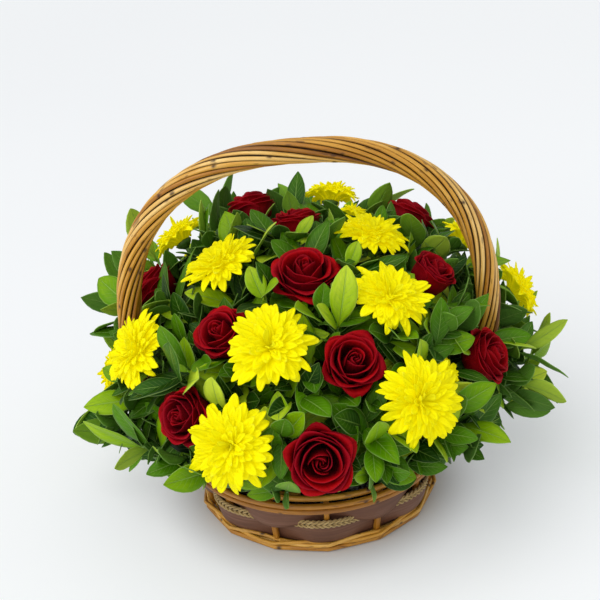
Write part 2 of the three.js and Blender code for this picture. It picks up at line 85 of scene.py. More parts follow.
# Knots on a rod: how far apart, how far each may stray from there, how long and how narrow, and how high.
KNOTS = Group(apart=55 * MM, roam=15 * MM, size=2.4 * MM, narrow=2.4, rise=0.16)
UNEVEN = 0.02  # how much a rod's thickness wanders
FOOT_HEIGHTS = [2.75 * MM, 8.15 * MM]
# How far the foot's rods clear the stakes, how much higher each lies than the model's, and where it starts.
FOOT = Group(clear=0.8 * MM, rise=(0.2 * MM, 0.3 * MM), starts=(radians(95), 1.2))
# Radius and height of each rod of the rim, and where its thick end is, in degrees.
RIM = [(109.6 * MM, 47.6 * MM, 78), (109.9 * MM, 53.2 * MM, 112), (104.2 * MM, 57.3 * MM, -117)]
# Rods that go round the basket: radius at the thick end, the thin end's share of it, how far a rod
# wanders, how straight it runs from stake to stake, and how far it swings round a partner.
LOWEST_ROD = {"thick": 2.3 * MM, "taper": 0.8, "roam": 0.12 * MM, "taut": 0.9}
PAIRED_ROD = {"thick": 1.7 * MM, "taper": 0.85, "roam": 0.12 * MM, "taut": 0.9, "swing": 1.6 * MM}
RIM_ROD = {"thick": 2.75 * MM, "taper": 0.8, "roam": 0.55 * MM}
# A rod's thin end ends at `share` of a round. From `start` on it moves in by `inward` times its radius.
OVERLAP = Group(share=1.05, start=0.93, inward=1.7)
ROUND_POINTS = 720  # of a rod with its overlap
# Each splint's name, lowest and highest, whether it passes outside the same stakes as the cord (1) or the
# others (-1), and where it starts, in degrees.
SPLINTS = [("splint_lower", 9.2 * MM, 26.2 * MM, 1, 40), ("splint_upper", 27 * MM, 46.2 * MM, -1, 160)]
SPLINT = Group(thick=1.2 * MM, reach=4.2 * MM, rise=1.8 * MM, crown=1.1 * MM, part=1.3 * MM, lap=1.4 * MM)
SPLINT_UNEVEN = Group(edge=0.3 * MM, crown=0.35 * MM, wrinkle=0.4 * MM)
SPLINT_END = Group(share=1.03, start=0.97)  # of a round, and where it begins to move in behind the other end
SPLINT_GRID = (620, 13)
CORD = Group(radius=99.8 * MM, reach=4.9 * MM, height=29.2 * MM, ply=0.98 * MM, turns=73, start=radians(70))
CORD_POINTS = 14  # in each turn of a ply
STRANDS = Group(apart=1.85, gape=0.9 * MM)  # in plies, and how far they part where the cord passes outside

# The hoop's upper half is a superellipse of the power `square`. `leave` is the angle where it stops being
# round.
HOOP = Group(radius=148.5 * MM, centre=1.5 * MM, height=166 * MM, square=2.4, leave=radians(-22))
LEG = [(87, 7.2), (89, 24), (92.2, 44), (97.2, 63), (113.5, 84)]  # out and up, in millimetres
# The handle is as thin as `tip` below `low`, and full from `high` up.
HANDLE = Group(radius=10.4 * MM, tip=4.1 * MM, low=62 * MM, high=105 * MM, pitch=280 * MM, rods=13)
HANDLE_POINTS = 400
CORE_DEPTH = 1.9  # from the handle's skin to its core's, in radii of a rod
HANDLE_UNEVEN = Group(twist=0.03, away=0.022, thinnest=0.86)
HANDLE_LOW_SHADE = Group(depth=0.3, low=100 * MM, high=230 * MM)  # painted shade, dark up to `low`, and none from `high` up
PAINTED_GAP_SHADE = Group(start=0.12, most=0.92)  # painted shade between rods: the depth, in radii, where it starts, and how dark it gets

LINER = Group(low=7.4 * MM, high=56 * MM, foot=79.6 * MM, top=83 * MM, thick=0.5 * MM, flare=11 * MM)
LINER_FOLD = Group(out=0.35 * MM, up=0.9 * MM, lap=0.6 * MM)
FOAM = Group(low=8.4 * MM, radius=77.4 * MM, middle=50 * MM, rise=40 * MM, dome=80 * MM)
FOAM_PITS = 0.02  # how deep, as a share of the radius
# A stem enters the foam's dome at `share` of its head's tilt, towards the point that lies `aim` under the
# dome's middle. It ends `inside` it, and its knee is `outside` it.
STEM = Group(share=0.75, aim=20 * MM, inside=22 * MM, outside=10 * MM, rose=2.2 * MM, mum=1.9 * MM)

FOCUS = np.array([0, 10, 60]) * MM  # every flower faces away from this point
HEAD_FROM = 120 * MM  # what lies further than this from the focus belongs to a flower's head
HAND_SPACE = np.array([[-72, -16, 262], [72, 16, 303]]) * MM  # kept free under the handle

# Rose petals in whorls, from the bud out, in units of the head's radius. `flat` draws the middle of a
# petal in, so that the whorl's mouth is a rounded polygon; a negative one draws it out.
Whorl = namedtuple("Whorl", "petals belly lip top wrap curl flat")
ROSE_WHORLS = [
    Whorl(2, 0.12, 0.05, 0.37, 2.0, 0.0, 0.0),
    Whorl(3, 0.19, 0.12, 0.43, 1.35, 0.1, 0.0),
    Whorl(3, 0.28, 0.22, 0.43, 1.3, 0.3, 0.08),
    Whorl(3, 0.48, 0.46, 0.43, 1.3, 0.85, 0.12),
    Whorl(4, 0.59, 0.6, 0.32, 1.15, 1.05, 0.03),
    Whorl(4, 0.67, 0.72, 0.14, 1.1, 1.2, -0.05),
    Whorl(5, 0.72, 0.78, -0.06, 0.95, 1.35, -0.08),
]
ROSE_FOOT = -0.78
ROSE_HIP = [(-1.0, 0.09), (-0.93, 0.15), (-0.84, 0.21), (-0.76, 0.2), (-0.7, 0.14)]  # height and radius
ROSE_GRID = (15, 15)
PETAL_THICK = 0.5 * MM
SEPALS = 5
SEPAL_THICK = 0.5 * MM
# In radii of the head: where the lowest point of the model's one lies along its axis, and how far its widest
# is from the axis; and how far below the centre the stem ends.
ROSE_HEAD = Group(model=(-0.82, 1.013), neck=0.98)
MUM_HEAD = Group(model=(-0.34, 1.0), neck=0.3)
FRONT_ROSE = "rose_05"
FRONT_OPENED = 0.7  # how far open it is, from 0 to 1

# Chrysanthemum florets, from the centre out: where a floret's tip is, in units of the head's radius.
MUM_TIPS = [(0.0, 0.08, 0.34), (0.2, 0.36, 0.42), (0.45, 0.64, 0.33), (0.72, 0.88, 0.14), (1.0, 1.04, -0.1)]
MUM_CUP = [(-0.44, 0.06), (-0.38, 0.14), (-0.3, 0.24), (-0.2, 0.3), (-0.14, 0.2)]  # height and radius
MUM_FLORETS = 112
MUM_GRID = (10, 5)
FLORET_WIDTH = 0.116  # half of it, in units of the head's radius
FLORET_THICK = 0.6 * MM
# Smaller blooms beside others: azimuth, tilt from upright, distance from the focus and radius.
SIDE_BLOOMS = [(-178, 61, 166, 19), (-39, 57, 163, 14), (60, 29, 184, 15)]  # degrees and millimetres
SIDE_FLORETS = 60
STRAYS = 0.1  # the share of florets that stand out of line
GOLDEN = pi * (3 - sqrt(5))

# A leaf's arch and the place where its blade begins are shares of its length.
LEAF = Group(arch=0.14, blade=0.09, fold=0.3, thick=0.55 * MM, stalk=0.9 * MM, grid=(13, 9))
# Length and width of a fine leaf, as shares of the leaf that it stands for; the shorter ones are for
# little room.
FINE_LEAF = [(0.86, 0.8), (0.74, 0.74), (0.62, 0.66), (0.5, 0.58)]
# No leaf hangs lower than this. Leaves that reach out beyond `start` stay higher the further they reach,
# above all in front, so that the basket shows.
LEAF_LOWEST = Group(side=44 * MM, front=66 * MM, start=106 * MM, side_rise=0.2, front_rise=0.6)
RIM_CLEAR = Group(height=63 * MM, radius=114 * MM)  # no leaf lies lower and further in than this
TWIG = 1.3 * MM  # radius
SAME_TWIG = 20 * MM  # leaves whose roots are no further apart share one
# A leaf's tip in the model: its edges are longer than `edge`, the midrib's upper and lower points before
# it are no further apart than `rib`, and they lie `back` of the leaf's length before it.
CAD_TIP = Group(edge=8 * MM, rib=2 * MM, back=0.3)

# More leafy sprays between the branches of the model, all round. Reach is from the flowers near by to the
# tip. The deeper a kind of spray sits, the lower its `shade`: painted shade on the leaves inside.
Kind = namedtuple("Kind", "sprays leaves reach size shade grid")
SPRAYS = [
    Kind(150, 7, (-40 * MM, -8 * MM), 45 * MM, (0.15, 1.0), (11, 7)),
    Kind(110, 7, (-60 * MM, -36 * MM), 42 * MM, (0.0, 0.35), (9, 5)),
    Kind(70, 6, (-84 * MM, -60 * MM), 42 * MM, (-0.1, 0.1), (9, 5)),
    Kind(170, 5, (-48 * MM, -16 * MM), 33 * MM, (0.0, 0.5), (9, 5)),
]
SECTORS = 8  # the sprays are in one object for each of these
# Tilts are from upright.
SPRAY = Group(
    lowest=radians(98),  # tilt of the lowest spray
    widest=radians(62),  # tilt at which they bulge out
    bulge=radians(20),  # how far the bulge goes on to both sides
    low=(radians(50), radians(80)),  # from the tilt that isn't low to the one that is
)
SPRAY_REACH = Group(
    side=26 * MM,  # further in the bulge, but not in front
    left=0.45,  # the share by which that is more on the left and less on the right
    under=10 * MM,  # less below the bulge
    front=-8 * MM,  # further low in front
    back=4 * MM,  # further high at the back
    near=radians(17),  # how near a flower has to be to count
)
WHORL = Group(
    apart=3.6 * MM,  # from leaf to leaf along the twig
    lean=22,  # degrees, of the first leaf
    step=13,  # degrees more for each further one
    spread=12,  # degrees by chance
    long=(0.82, 1.18),  # times the kind's size
    wide=(0.37, 0.52),  # times the leaf's length
    tries=10,  # for each leaf
    fewest=2,  # leaves that make a spray
)
# By the last try, how much further a leaf may be turned, in radians, and leaned, in degrees, and how much
# shorter it gets.
STRAIN = Group(turn=2, lean=30, shorter=0.3)
CELL = 3 * MM  # of the grid that keeps leaves apart
CROWDED = 0.13  # how much of a leaf may lie in taken cells

# How wide a flower's head is, in its own radii, at these heights along its axis, with a free cone over its
# face.
ROSE_PROFILE = [(-0.95, 0), (-0.9, 0.2), (-0.66, 0.55), (0.05, 1.0), (0.4, 0.8), (0.5, 0.6), (2.5, 0.45)]
MUM_PROFILE = [(-0.45, 0), (-0.4, 0.2), (-0.2, 0.75), (-0.05, 1.0), (0.2, 0.9), (0.45, 0.68), (2.5, 0.5)]
HANDLE_CLEAR = 13.5 * MM
# Leaves keep out of the way between the photograph's viewpoint and every flower that it shows: those that
# face away from it by no more than `away`. The way is `wide` head radii wide and starts `start` of them in
# front of a head. It lies up to `above` radii higher for a head that is seen from its side.
SIGHT = Group(away=-0.22, wide=0.78, start=0.1, above=0.42)
BOX_MARGIN = 0.025  # how far leaves may stand out of the model's box, as a share of its side

# ---- Arrays ----

X, Y, Z = np.eye(3)


def unit(vectors):
    return vectors / np.linalg.norm(vectors, axis=-1, keepdims=True)


def around(angle, radius=1.0, height=0.0):
    """The points at these angles round +Z."""
    angle, radius, height = np.broadcast_arrays(angle, radius, height)
    return np.stack([radius * np.cos(angle), radius * np.sin(angle), height], axis=-1)


def facing(azimuth, tilt):
    """The direction at this angle round +Z and this far from it."""
    return np.array([cos(azimuth) * sin(tilt), sin(azimuth) * sin(tilt), cos(tilt)])


def across_of(axis):
    """A direction square to this one."""
    return unit(np.cross(Z if abs(axis[2]) < 0.9 else X, axis))


def ring(sides):
    """Even angles once round."""
    return np.arange(sides) * TURN / sides


def between(low, high, share):
    """The value at a share of the way from low to high."""
    return low + (high - low) * share


def smooth(value, low, high):
    """0 below low, 1 above high, and a smooth step between."""
    t = np.clip((value - low) / (high - low), 0, 1)
    return t * t * (3 - 2 * t)


def bezier(points, t):
    """The place at t on a cubic curve with four control points."""
    a, b, c, d = np.asarray(points, float)
    t = np.asarray(t, float)[..., None]
    return a * (1 - t) ** 3 + 3 * b * t * (1 - t) ** 2 + 3 * c * t * t * (1 - t) + d * t**3


def wander(share, size, rng, waves=5):
    """A smooth random curve over shares from 0 to 1, which ends as it begins."""
    value = np.zeros_like(share)
    for k in range(1, waves + 1):
        value += rng.normal() / k * np.sin(TURN * (k * share + rng.random()))
    return value * size


def lengths(line):
    """How far along a line each of its points is."""
    return np.concatenate([[0], np.cumsum(np.linalg.norm(np.diff(line, axis=0), axis=1))])


def curve_through(points, count):
    """A centripetal Catmull-Rom curve through the points, with `count` points at equal distances."""
    p = np.asarray(points, float)
    p = np.vstack([2 * p[0] - p[1], p, 2 * p[-1] - p[-2]])
    knots = np.concatenate([[0], np.cumsum(np.linalg.norm(np.diff(p, axis=0), axis=1) ** 0.5)])
    stretches = []
    for i in range(1, len(p) - 2):
        k = knots[i - 1 : i + 3]
        t = np.linspace(k[1], k[2], 24)[:, None]
        row = p[i - 1 : i + 3]
        for span in (1, 2):
            row = [
                ((k[j + span] - t) * row[j] + (t - k[j]) * row[j + 1]) / (k[j + span] - k[j])
                for j in range(len(row) - 1)
            ]
        stretches.append(((k[2] - t) * row[0] + (t - k[1]) * row[1]) / (k[2] - k[1]))
    line = np.vstack(stretches)
    line = line[np.concatenate([[True], np.linalg.norm(np.diff(line, axis=0), axis=1) > 1e-9])]
    length = lengths(line)
    at = np.linspace(0, length[-1], count)
    return np.stack([np.interp(at, length, line[:, k]) for k in range(3)], axis=-1)


# ---- Skins ----
# A skin is one closed surface: its points, its faces, and two vectors for each point that the materials
# read. `place` says where a point is on its petal, leaf or rod; `tone` holds random numbers and marks,
# some of which are painted shade.


@functools.cache
def tube_faces(rings, sides):
    i, j = np.meshgrid(np.arange(rings - 1), np.arange(sides), indexing="ij")
    turn = (j + 1) % sides
    here = i * sides
    after = (i + 1) * sides
    quads = np.stack([here + j, after + j, after + turn, here + turn], axis=-1)
    end = np.arange(sides)
    return [quads.reshape(-1, 4), end[None], (rings * sides - 1 - end)[None]]


@functools.cache
def sheet_faces(rows, columns):
    index = np.arange(rows * columns).reshape(rows, columns)
    a, b, c, d = index[:-1, :-1], index[1:, :-1], index[1:, 1:], index[:-1, 1:]
    top = np.stack([a, b, c, d], axis=-1).reshape(-1, 4)
    border = np.concatenate([index[:-1, 0], index[-1, :-1], index[:0:-1, -1], index[0, :0:-1]])
    after = np.roll(border, -1)
    under = rows * columns
    rim = np.stack([after, border, border + under, after + under], axis=-1)
    return [np.vstack([top, top[:, ::-1] + under, rim])]


def for_each(vector, points):
    """One vector for each point, from as many or from one for all."""
    return np.broadcast_to(vector, points.shape) if np.ndim(vector) < 2 else np.reshape(vector, (-1, 3))


def skin(points, faces, place, tone):
    points = points.reshape(-1, 3)
    return points, faces, for_each(place, points), for_each(tone, points)


def tube(line, radius, hint, tone=(0, 0, 0), sides=10):
    """A round rod along a line. `radius` is one number, one for each point of the line, or one for each
    point and side. `hint` is a direction that the line never takes."""
    along = unit(np.gradient(line, axis=0))
    side = unit(np.cross(along, hint))
    up = np.cross(side, along)
    radius = np.asarray(radius, float)
    radius = np.broadcast_to(radius[:, None] if radius.ndim == 1 else radius, (len(line), sides))
    across = radius * np.cos(ring(sides))
    upward = radius * np.sin(ring(sides))
    points = line[:, None] + across[..., None] * side[:, None] + upward[..., None] * up[:, None]
    length = np.broadcast_to(lengths(line)[:, None], radius.shape)
    return skin(points, tube_faces(len(line), sides), np.stack([across, upward, length], axis=-1), tone)


def sheet(middle, thick, tone=(0, 0, 0), steps=None, place=None):
    """A thin closed skin on both sides of a grid of points. Its upper side faces along rows x along
    columns. Its rows lie at `steps` from 0 to 1."""
    rows, columns = middle.shape[:2]
    normal = unit(np.cross(np.gradient(middle, axis=0), np.gradient(middle, axis=1)))
    points = np.stack([middle + normal * thick / 2, middle - normal * thick / 2])
    if place is None:
        steps = np.linspace(0, 1, rows) if steps is None else steps
        t, u = np.meshgrid(steps, np.linspace(-1, 1, columns), indexing="ij")
        sides = [np.stack([u, t, np.full_like(u, upper)], axis=-1) for upper in (1.0, 0.0)]
    else:
        sides = [place, place]
    return skin(points, sheet_faces(rows, columns), np.stack(sides), tone)


def moved_sheet(grid, place, thick, tone):
    """A sheet whose grid is made round +Z and then put in its place."""
    return sheet(grid @ place[:, :3].T + place[:, 3], thick, tone)


def ribbon(line, across, half_width, rise, columns):
    """A grid of points along a line. `across` points to its left edge, and its edges rise by `rise` half
    widths."""
    along = unit(np.gradient(line, axis=0))
    across = unit(across - along * np.sum(across * along, axis=1, keepdims=True))
    up = np.cross(along, across)
    u = np.linspace(-1, 1, columns)
    wide = half_width[:, None] * u
    high = half_width[:, None] * rise * (np.sqrt(u * u + 0.02) - sqrt(0.02))
    return line[:, None] + across[:, None] * wide[..., None] + up[:, None] * high[..., None]


def piece(name, skins, finish, replaces=()):
    """One object made of skins. It rides on the part's only body and stands for the CAD nodes it
    replaces."""
    starts = np.cumsum([0] + [len(one[0]) for one in skins])
    faces = [f + start for one, start in zip(skins, starts) for f in one[1]]
    corners = np.concatenate([f.ravel() for f in faces])
    sizes = np.concatenate([np.full(len(f), f.shape[1]) for f in faces])
    mesh = bpy.data.meshes.new(name)
    mesh.vertices.add(starts[-1])
    mesh.vertices.foreach_set("co", np.concatenate([one[0] for one in skins]).astype(np.float32).ravel())
    mesh.loops.add(len(corners))
    mesh.loops.foreach_set("vertex_index", corners.astype(np.int32))
    mesh.polygons.add(len(sizes))
    mesh.polygons.foreach_set("loop_start", (np.cumsum(sizes) - sizes).astype(np.int32))
    for k, label in ((2, "place"), (3, "tone")):
        values = np.concatenate([one[k] for one in skins]).astype(np.float32)
        mesh.attributes.new(label, "FLOAT_VECTOR", "POINT").data.foreach_set("vector", values.ravel())
    mesh.update(calc_edges=True)
    mesh.polygons.foreach_set("use_smooth", sizes == 4)
    mesh.materials.append(finish)
    made = bpy.data.objects.new(name, mesh)
    bpy.context.scene.collection.objects.link(made)
    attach(made, "root")
    if replaces:
        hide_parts(*replaces)


# ---- Materials ----


class Wire:
    """A shader node's output. Arithmetic on it adds Math nodes to its tree."""

    def __init__(self, socket):
        self.socket = socket

    def math(self, operation, *others):
        return node(self.socket.id_data, "Math", (self, *others), operation=operation)

    def __add__(self, other):
        return self.math("ADD", other)

    def __sub__(self, other):
        return self.math("SUBTRACT", other)

    def __rsub__(self, other):
        return self.math("MULTIPLY_ADD", -1.0, other)

    def __mul__(self, other):
        return self.math("MULTIPLY", other)


def node(tree, kind, inputs=(), output=0, **settings):
    """Adds a node and gives one of its outputs. Its inputs are values or wires, by index or by name."""
    made = tree.nodes.new("ShaderNode" + kind)
    for name, value in settings.items():
        setattr(made, name, value)
    for key, value in inputs.items() if isinstance(inputs, dict) else enumerate(inputs):
        if isinstance(value, Wire):
            tree.links.new(value.socket, made.inputs[key])
        else:
            made.inputs[key].default_value = value
    return Wire(made.outputs[output])


def attribute(tree, name):
    """A vector attribute of the mesh, whole and as its three numbers."""
    whole = node(tree, "Attribute", output=1, attribute_name=name)
    parts = node(tree, "SeparateXYZ", (whole,))
    return whole, *(Wire(socket) for socket in parts.socket.node.outputs)


def tint(*screen):
    """A colour as it shows on a screen, red, green and blue from 0 to 255, as linear light."""
    linear = (c / 255 / 12.92 if c <= 10 else ((c / 255 + 0.055) / 1.055) ** 2.4 for c in screen)
    return (*linear, 1.0)


def ramp(value, first, *stops):
    """Colours by a value from 0 to 1. Each stop is a place and a colour as it shows on a screen."""
    wire = node(value.socket.id_data, "ValToRGB", (value,))
    elements = wire.socket.node.color_ramp.elements
    elements.remove(elements[1])
    elements[0].position, elements[0].color = first[0], tint(*first[1:])
    for place, *colour in stops:
        elements.new(place).color = tint(*colour)
    return wire


def mix(share, colour, over):
    """A colour with a share of another over it, which is given as it shows on a screen."""
    inputs = {0: share, 6: colour, 7: tint(*over)}
    return node(share.socket.id_data, "Mix", inputs, output=2, data_type="RGBA")


def step(value, low, high):
    """0 where the value is at low, 1 where it is at high, and smooth between. Low may be above high."""
    inputs = {"Value": value, "From Min": low, "From Max": high}
    return node(value.socket.id_data, "MapRange", inputs, interpolation_type="SMOOTHSTEP")


def noise(vector, scale, detail=3.0, stretch=(1, 1, 1)):
    tree = vector.socket.id_data
    stretched = node(tree, "Mapping", {0: vector, 3: stretch})
    return node(tree, "TexNoise", {"Vector": stretched, "Scale": scale, "Detail": detail})


def material(name, constants):
    """A Principled material with constants on its sockets, and its node tree."""
    made = bpy.data.materials.new(name)
    made.use_nodes = True
    shader = made.node_tree.nodes["Principled BSDF"]
    for socket, value in constants.items():
        shader.inputs[socket].default_value = value
    return made, made.node_tree


def join(made, colour, roughness=None, height=None, depth=0.0):
    """Wires a colour, a roughness and a bump, whose highest point stands `depth` metres out, to a
    material."""
    tree = made.node_tree
    wires = {"Base Color": colour, "Roughness": roughness}
    if height:
        wires["Normal"] = node(tree, "Bump", {"Strength": 1.0, "Distance": depth, "Height": height})
    for socket, wire in wires.items():
        if wire:
            tree.links.new(wire.socket, tree.nodes["Principled BSDF"].inputs[socket])
    return made


def willow_finish():
    """Peeled willow: ochre to tan from rod to rod, with fine streaks along the grain and dark knots. Its
    tone also carries painted shade: low on the handle's legs, between the handle's rods and on its core.
    """
    polish = {"Coat Weight": 0.12, "Coat Roughness": 0.3}
    made, tree = material("willow_rod", {"Specular IOR Level": 0.45, **polish})
    place, *_ = attribute(tree, "place")
    _, shade, drift, knots_and_shade = attribute(tree, "tone")
    drifted = node(tree, "VectorMath", (place, drift), operation="ADD")
    streak = noise(drifted, 900.0, 4.0, (1, 1, 0.035))
    patch = noise(drifted, 40.0, 3.0)
    value = shade * 0.62 + streak * 0.5 + patch * 0.5 - 0.3
    wood = ramp(value, (0, 110, 62, 8), (0.35, 174, 114, 24), (0.65, 216, 160, 58), (1, 250, 214, 140))
    speck = step(noise(drifted, 300.0, 1.0, (1, 1, 0.25)), 0.64, 0.72)
    stain = step(noise(drifted, 26.0, 3.0, (1, 1, 0.5)), 0.56, 0.72)
    wood = mix(stain * 0.4, wood, (132, 78, 26))
    wood = mix(speck * 0.6, wood, (88, 50, 18))
    # Knots and painted shade darken the wood alike.
    wood = mix(step(knots_and_shade, 0.1, 0.9) * 0.94, wood, (58, 28, 4))
    return join(made, wood, streak * 0.25 + 0.36, streak + patch * 0.6, 0.25 * MM)


def splint_finish():
    """A wide dark splint: chocolate brown with a fine grain along it and paler worn streaks."""
    made, tree = material("dark_splint", {"Specular IOR Level": 0.4})
    place, *_ = attribute(tree, "place")
    grain = noise(place, 700.0, 5.0, (1, 1, 0.03))
    patch = noise(place, 30.0, 3.0, (1, 1, 0.5))
    value = grain * 0.6 + patch * 0.55 - 0.08
    wood = ramp(value, (0.15, 66, 38, 26), (0.5, 108, 70, 50), (0.8, 144, 108, 90))
    return join(made, wood, grain * 0.3 + 0.38, grain, 0.3 * MM)


def cord_finish():
    """A straw-coloured cord of twisted grass, with fibres along each ply."""
    made, tree = material("straw_cord", {"Specular IOR Level": 0.25, "Sheen Weight": 0.2})
    place, *_ = attribute(tree, "place")
    fibre = noise(place, 1500.0, 4.0, (1, 1, 0.08))
    patch = noise(place, 90.0, 2.0)
    value = fibre * 0.7 + patch * 0.4 - 0.05
    straw = ramp(value, (0.2, 112, 86, 48), (0.5, 176, 148, 94), (0.8, 214, 192, 140))
    return join(made, straw, fibre * 0.2 + 0.7, fibre, 0.5 * MM)


def film_finish():
    """Glossy film with fine crumples: near-black, which paints the foam under the clear film and the shade
    in the basket's gaps, and pale on some crumples as a painted reflection.
    """
    made, tree = material("liner_film", {"Roughness": 0.22, "Specular IOR Level": 0.45})
    crumple = noise(node(tree, "TexCoord", output=3), 70.0, 4.0)
    # The palest crumples are a painted reflection of the bright room.
    film = ramp(crumple, (0.3, 8, 10, 9), (0.56, 26, 30, 28), (0.64, 176, 182, 184))
    return join(made, film, None, crumple, 3 * MM)


def foam_finish():
    """Wet floral foam: dark green with fine pores."""
    made, tree = material("green_foam", {"Specular IOR Level": 0.2})
    place = node(tree, "TexCoord", output=3)
    pores = noise(place, 900.0, 3.0)
    patch = noise(place, 60.0, 2.0)
    green = ramp(patch * 0.5 + pores * 0.5, (0.3, 16, 34, 20), (0.7, 36, 66, 40))
    return join(made, green, pores * 0.1 + 0.85, pores, 1 * MM)


def rose_finish():
    """Velvety red, painted nearly black in the bowl as shade and bright where a petal turns out as light,
    with a thin magenta lip that is a painted highlight.
    """
    velvet = {"Sheen Weight": 0.05, "Sheen Roughness": 0.4, "Sheen Tint": tint(255, 70, 110)}
    made, tree = material("rose_petal", {"Roughness": 0.58, "Specular IOR Level": 0.08, **velvet})
    place, across, along, inner = attribute(tree, "place")
    _, shade, hue, _ = attribute(tree, "tone")
    grain = noise(place, 3.0, 4.0, (3, 1, 1))
    veins = noise(place, 30.0, 2.0, (3, 0.25, 1))
    # Painted shade and light: a petal darkens towards its foot in the bowl and brightens towards its lip.
    value = along * 0.62 + shade * 0.22 + grain * 0.4 - 0.22
    red = ramp(value, (0, 64, 0, 6), (0.4, 122, 0, 9), (0.75, 174, 2, 9), (1, 218, 10, 8))
    red = mix(hue * 0.5, red, (118, 0, 30))
    # A painted highlight: a thin magenta line along each petal's lip and side edges.
    lip = step(along, 0.96, 1.0)
    edge = step(across.math("ABSOLUTE"), 0.95, 1.0)
    red = mix(lip.math("MAXIMUM", edge) * 0.3, red, (190, 26, 50))
    red = mix((1 - inner) * 0.3, red, (84, 0, 14))
    return join(made, red, None, veins + grain * 0.5, 0.35 * MM)


def mum_finish():
    """Bright lemon yellow with a faint painted glow, darker towards the floret's foot as painted shade
    between florets, greener at the head's centre, with fine ridges."""
    # Painted light: the florets glow faintly, which lifts the shade between them.
    glow = {"Emission Color": tint(255, 240, 0), "Emission Strength": 0.2}
    made, tree = material("mum_petal", {"Roughness": 0.6, "Specular IOR Level": 0.1, **glow})
    place, _, along, inner = attribute(tree, "place")
    _, shade, centre, _ = attribute(tree, "tone")
    grain = noise(place, 5.0, 3.0)
    ridges = noise(place, 14.0, 2.0, (1.6, 0.12, 1))
    # Painted shade: a floret darkens towards its foot, down between the others.
    value = along * 0.7 + shade * 0.25 + grain * 0.2 - 0.05
    yellow = ramp(value, (0, 232, 220, 0), (0.4, 246, 236, 0), (0.85, 250, 244, 0), (1, 253, 250, 50))
    yellow = mix(step(centre, 0.16, 0.0) * 0.6, yellow, (216, 222, 40))
    yellow = mix((1 - inner) * 0.2, yellow, (238, 232, 40))
    return join(made, yellow, None, ridges, 0.5 * MM)


def leaf_finish():
    """Glossy leaf: dark green to lime from leaf to leaf, with painted shade on the deeper leaves and towards
    a leaf's foot, a pale midrib, side veins and a pale margin."""
    made, tree = material("glossy_leaf", {"Specular IOR Level": 0.14})
    place, across, along, upper = attribute(tree, "place")
    _, shade, drift, _ = attribute(tree, "tone")
    out = across.math("ABSOLUTE")
    patch = noise(place, 1.7, 3.0)
    mottle = noise(node(tree, "VectorMath", (place, drift), operation="ADD"), 6.0, 4.0)
    # `along` darkens a leaf towards its foot: partly a young tip's own lighter green, partly painted shade
    # where the leaves crowd in.
    value = shade * 0.85 + along * 0.16 + patch * 0.2 + mottle * 0.12 - 0.23
    dark = (0, 5, 20, 2), (0.3, 32, 74, 0), (0.6, 82, 134, 0)
    green = ramp(value, *dark, (0.85, 144, 182, 4), (1, 200, 222, 56))
    midrib = step(out, 0.075, 0.02)
    veins = step((along * 60.0 - out * 13.0).math("SINE"), 0.86, 1.0) * step(out, 0.9, 0.5)
    green = mix(midrib * 0.5, green, (150, 190, 90))
    green = mix(veins * 0.16, green, (170, 205, 110))
    green = mix(step(out, 0.93, 0.99) * 0.35, green, (176, 204, 120))
    green = mix((1 - upper) * 0.5, green, (104, 150, 60))
    rough = 0.62 - upper * 0.26 + mottle * 0.12
    return join(made, green, rough, mottle * 0.4 - midrib * 0.9 - veins * 0.35, 0.5 * MM)


def stem_finish():
    """Green stems, sepals and twigs, browner in patches."""
    made, tree = material("green_stem", {"Roughness": 0.5})
    patch = noise(node(tree, "TexCoord", output=3), 120.0, 3.0)
    green = ramp(patch, (0.3, 44, 82, 22), (0.6, 86, 124, 46), (0.8, 112, 116, 62))
    return join(made, green, None, patch, 0.3 * MM)


def floor_finish():
    """Pale paper that glows a little, more so in front as painted light, and not under the basket, which
    paints its shadow there.
    """
    glow = {"Emission Color": tint(250, 252, 255)}
    made, tree = material("pale_floor", {"Roughness": 0.7, "Specular IOR Level": 0.2, **glow})
    place = node(tree, "TexCoord", output=3)
    away = node(tree, "VectorMath", (place,), output=1, operation="LENGTH")
    forward = node(tree, "SeparateXYZ", (place,), output=1)
    # Painted light and shadow: no glow under the basket, and more glow towards the front.
    glowing = step(away, *FLOOR.shade) * (step(forward, *FLOOR.fade) * FLOOR.front_glow + FLOOR.glow)
    tree.links.new(glowing.socket, tree.nodes["Principled BSDF"].inputs["Emission Strength"])
    return join(made, ramp(noise(place, 0.7, 2.0), (0.3, 206, 208, 210), (0.7, 210, 212, 213)))


WILLOW = willow_finish()
DARK = splint_finish()
STRAW = cord_finish()
FILM = film_finish()
GREEN_FOAM = foam_finish()
RED = rose_finish()
YELLOW = mum_finish()
LEAFY = leaf_finish()
STALK = stem_finish()

# ---- Camera, floor and light ----

IMAGE = 600  # pixels each way
CAMERA = Group(
    distance=1.2,
    aim=0.15,  # height of the point it turns round
    elevation=radians(28.1),
    roll=radians(3.75),
    focal=1433,  # pixels
    shift=(-9.2, 35.4),  # pixels
    sensor=36,
    clip_end=200,
)
TO_VIEWER = np.array([0, -cos(CAMERA.elevation), sin(CAMERA.elevation)])

# The floor's half width, its glow and what is added to that in front. The glow starts between the two
# distances of `shade` from the middle, and the front's fades out between the two places of `fade` along Y.
# The missing glow under the basket paints its shadow, and the front's extra glow is painted light.
FLOOR = Group(half=60.0, glow=0.25, front_glow=0.08, shade=(0.08, 0.15), fade=(1.6, -0.4))
ROOM = Group(colour=(0.97, 0.985, 1.0, 1.0), strength=0.5)
# Each light's strength, width in degrees, direction and colour: a soft box from the upper left in front,
# and an even glow from the whole ceiling.
LIGHTS = [
    ("key", 1.75, 64, (0.6, 0.55, -0.95), (1.0, 0.99, 0.97)),
    ("ceiling", 0.35, 150, (0.05, 0.1, -1.0), (0.98, 0.99, 1.0)),
]


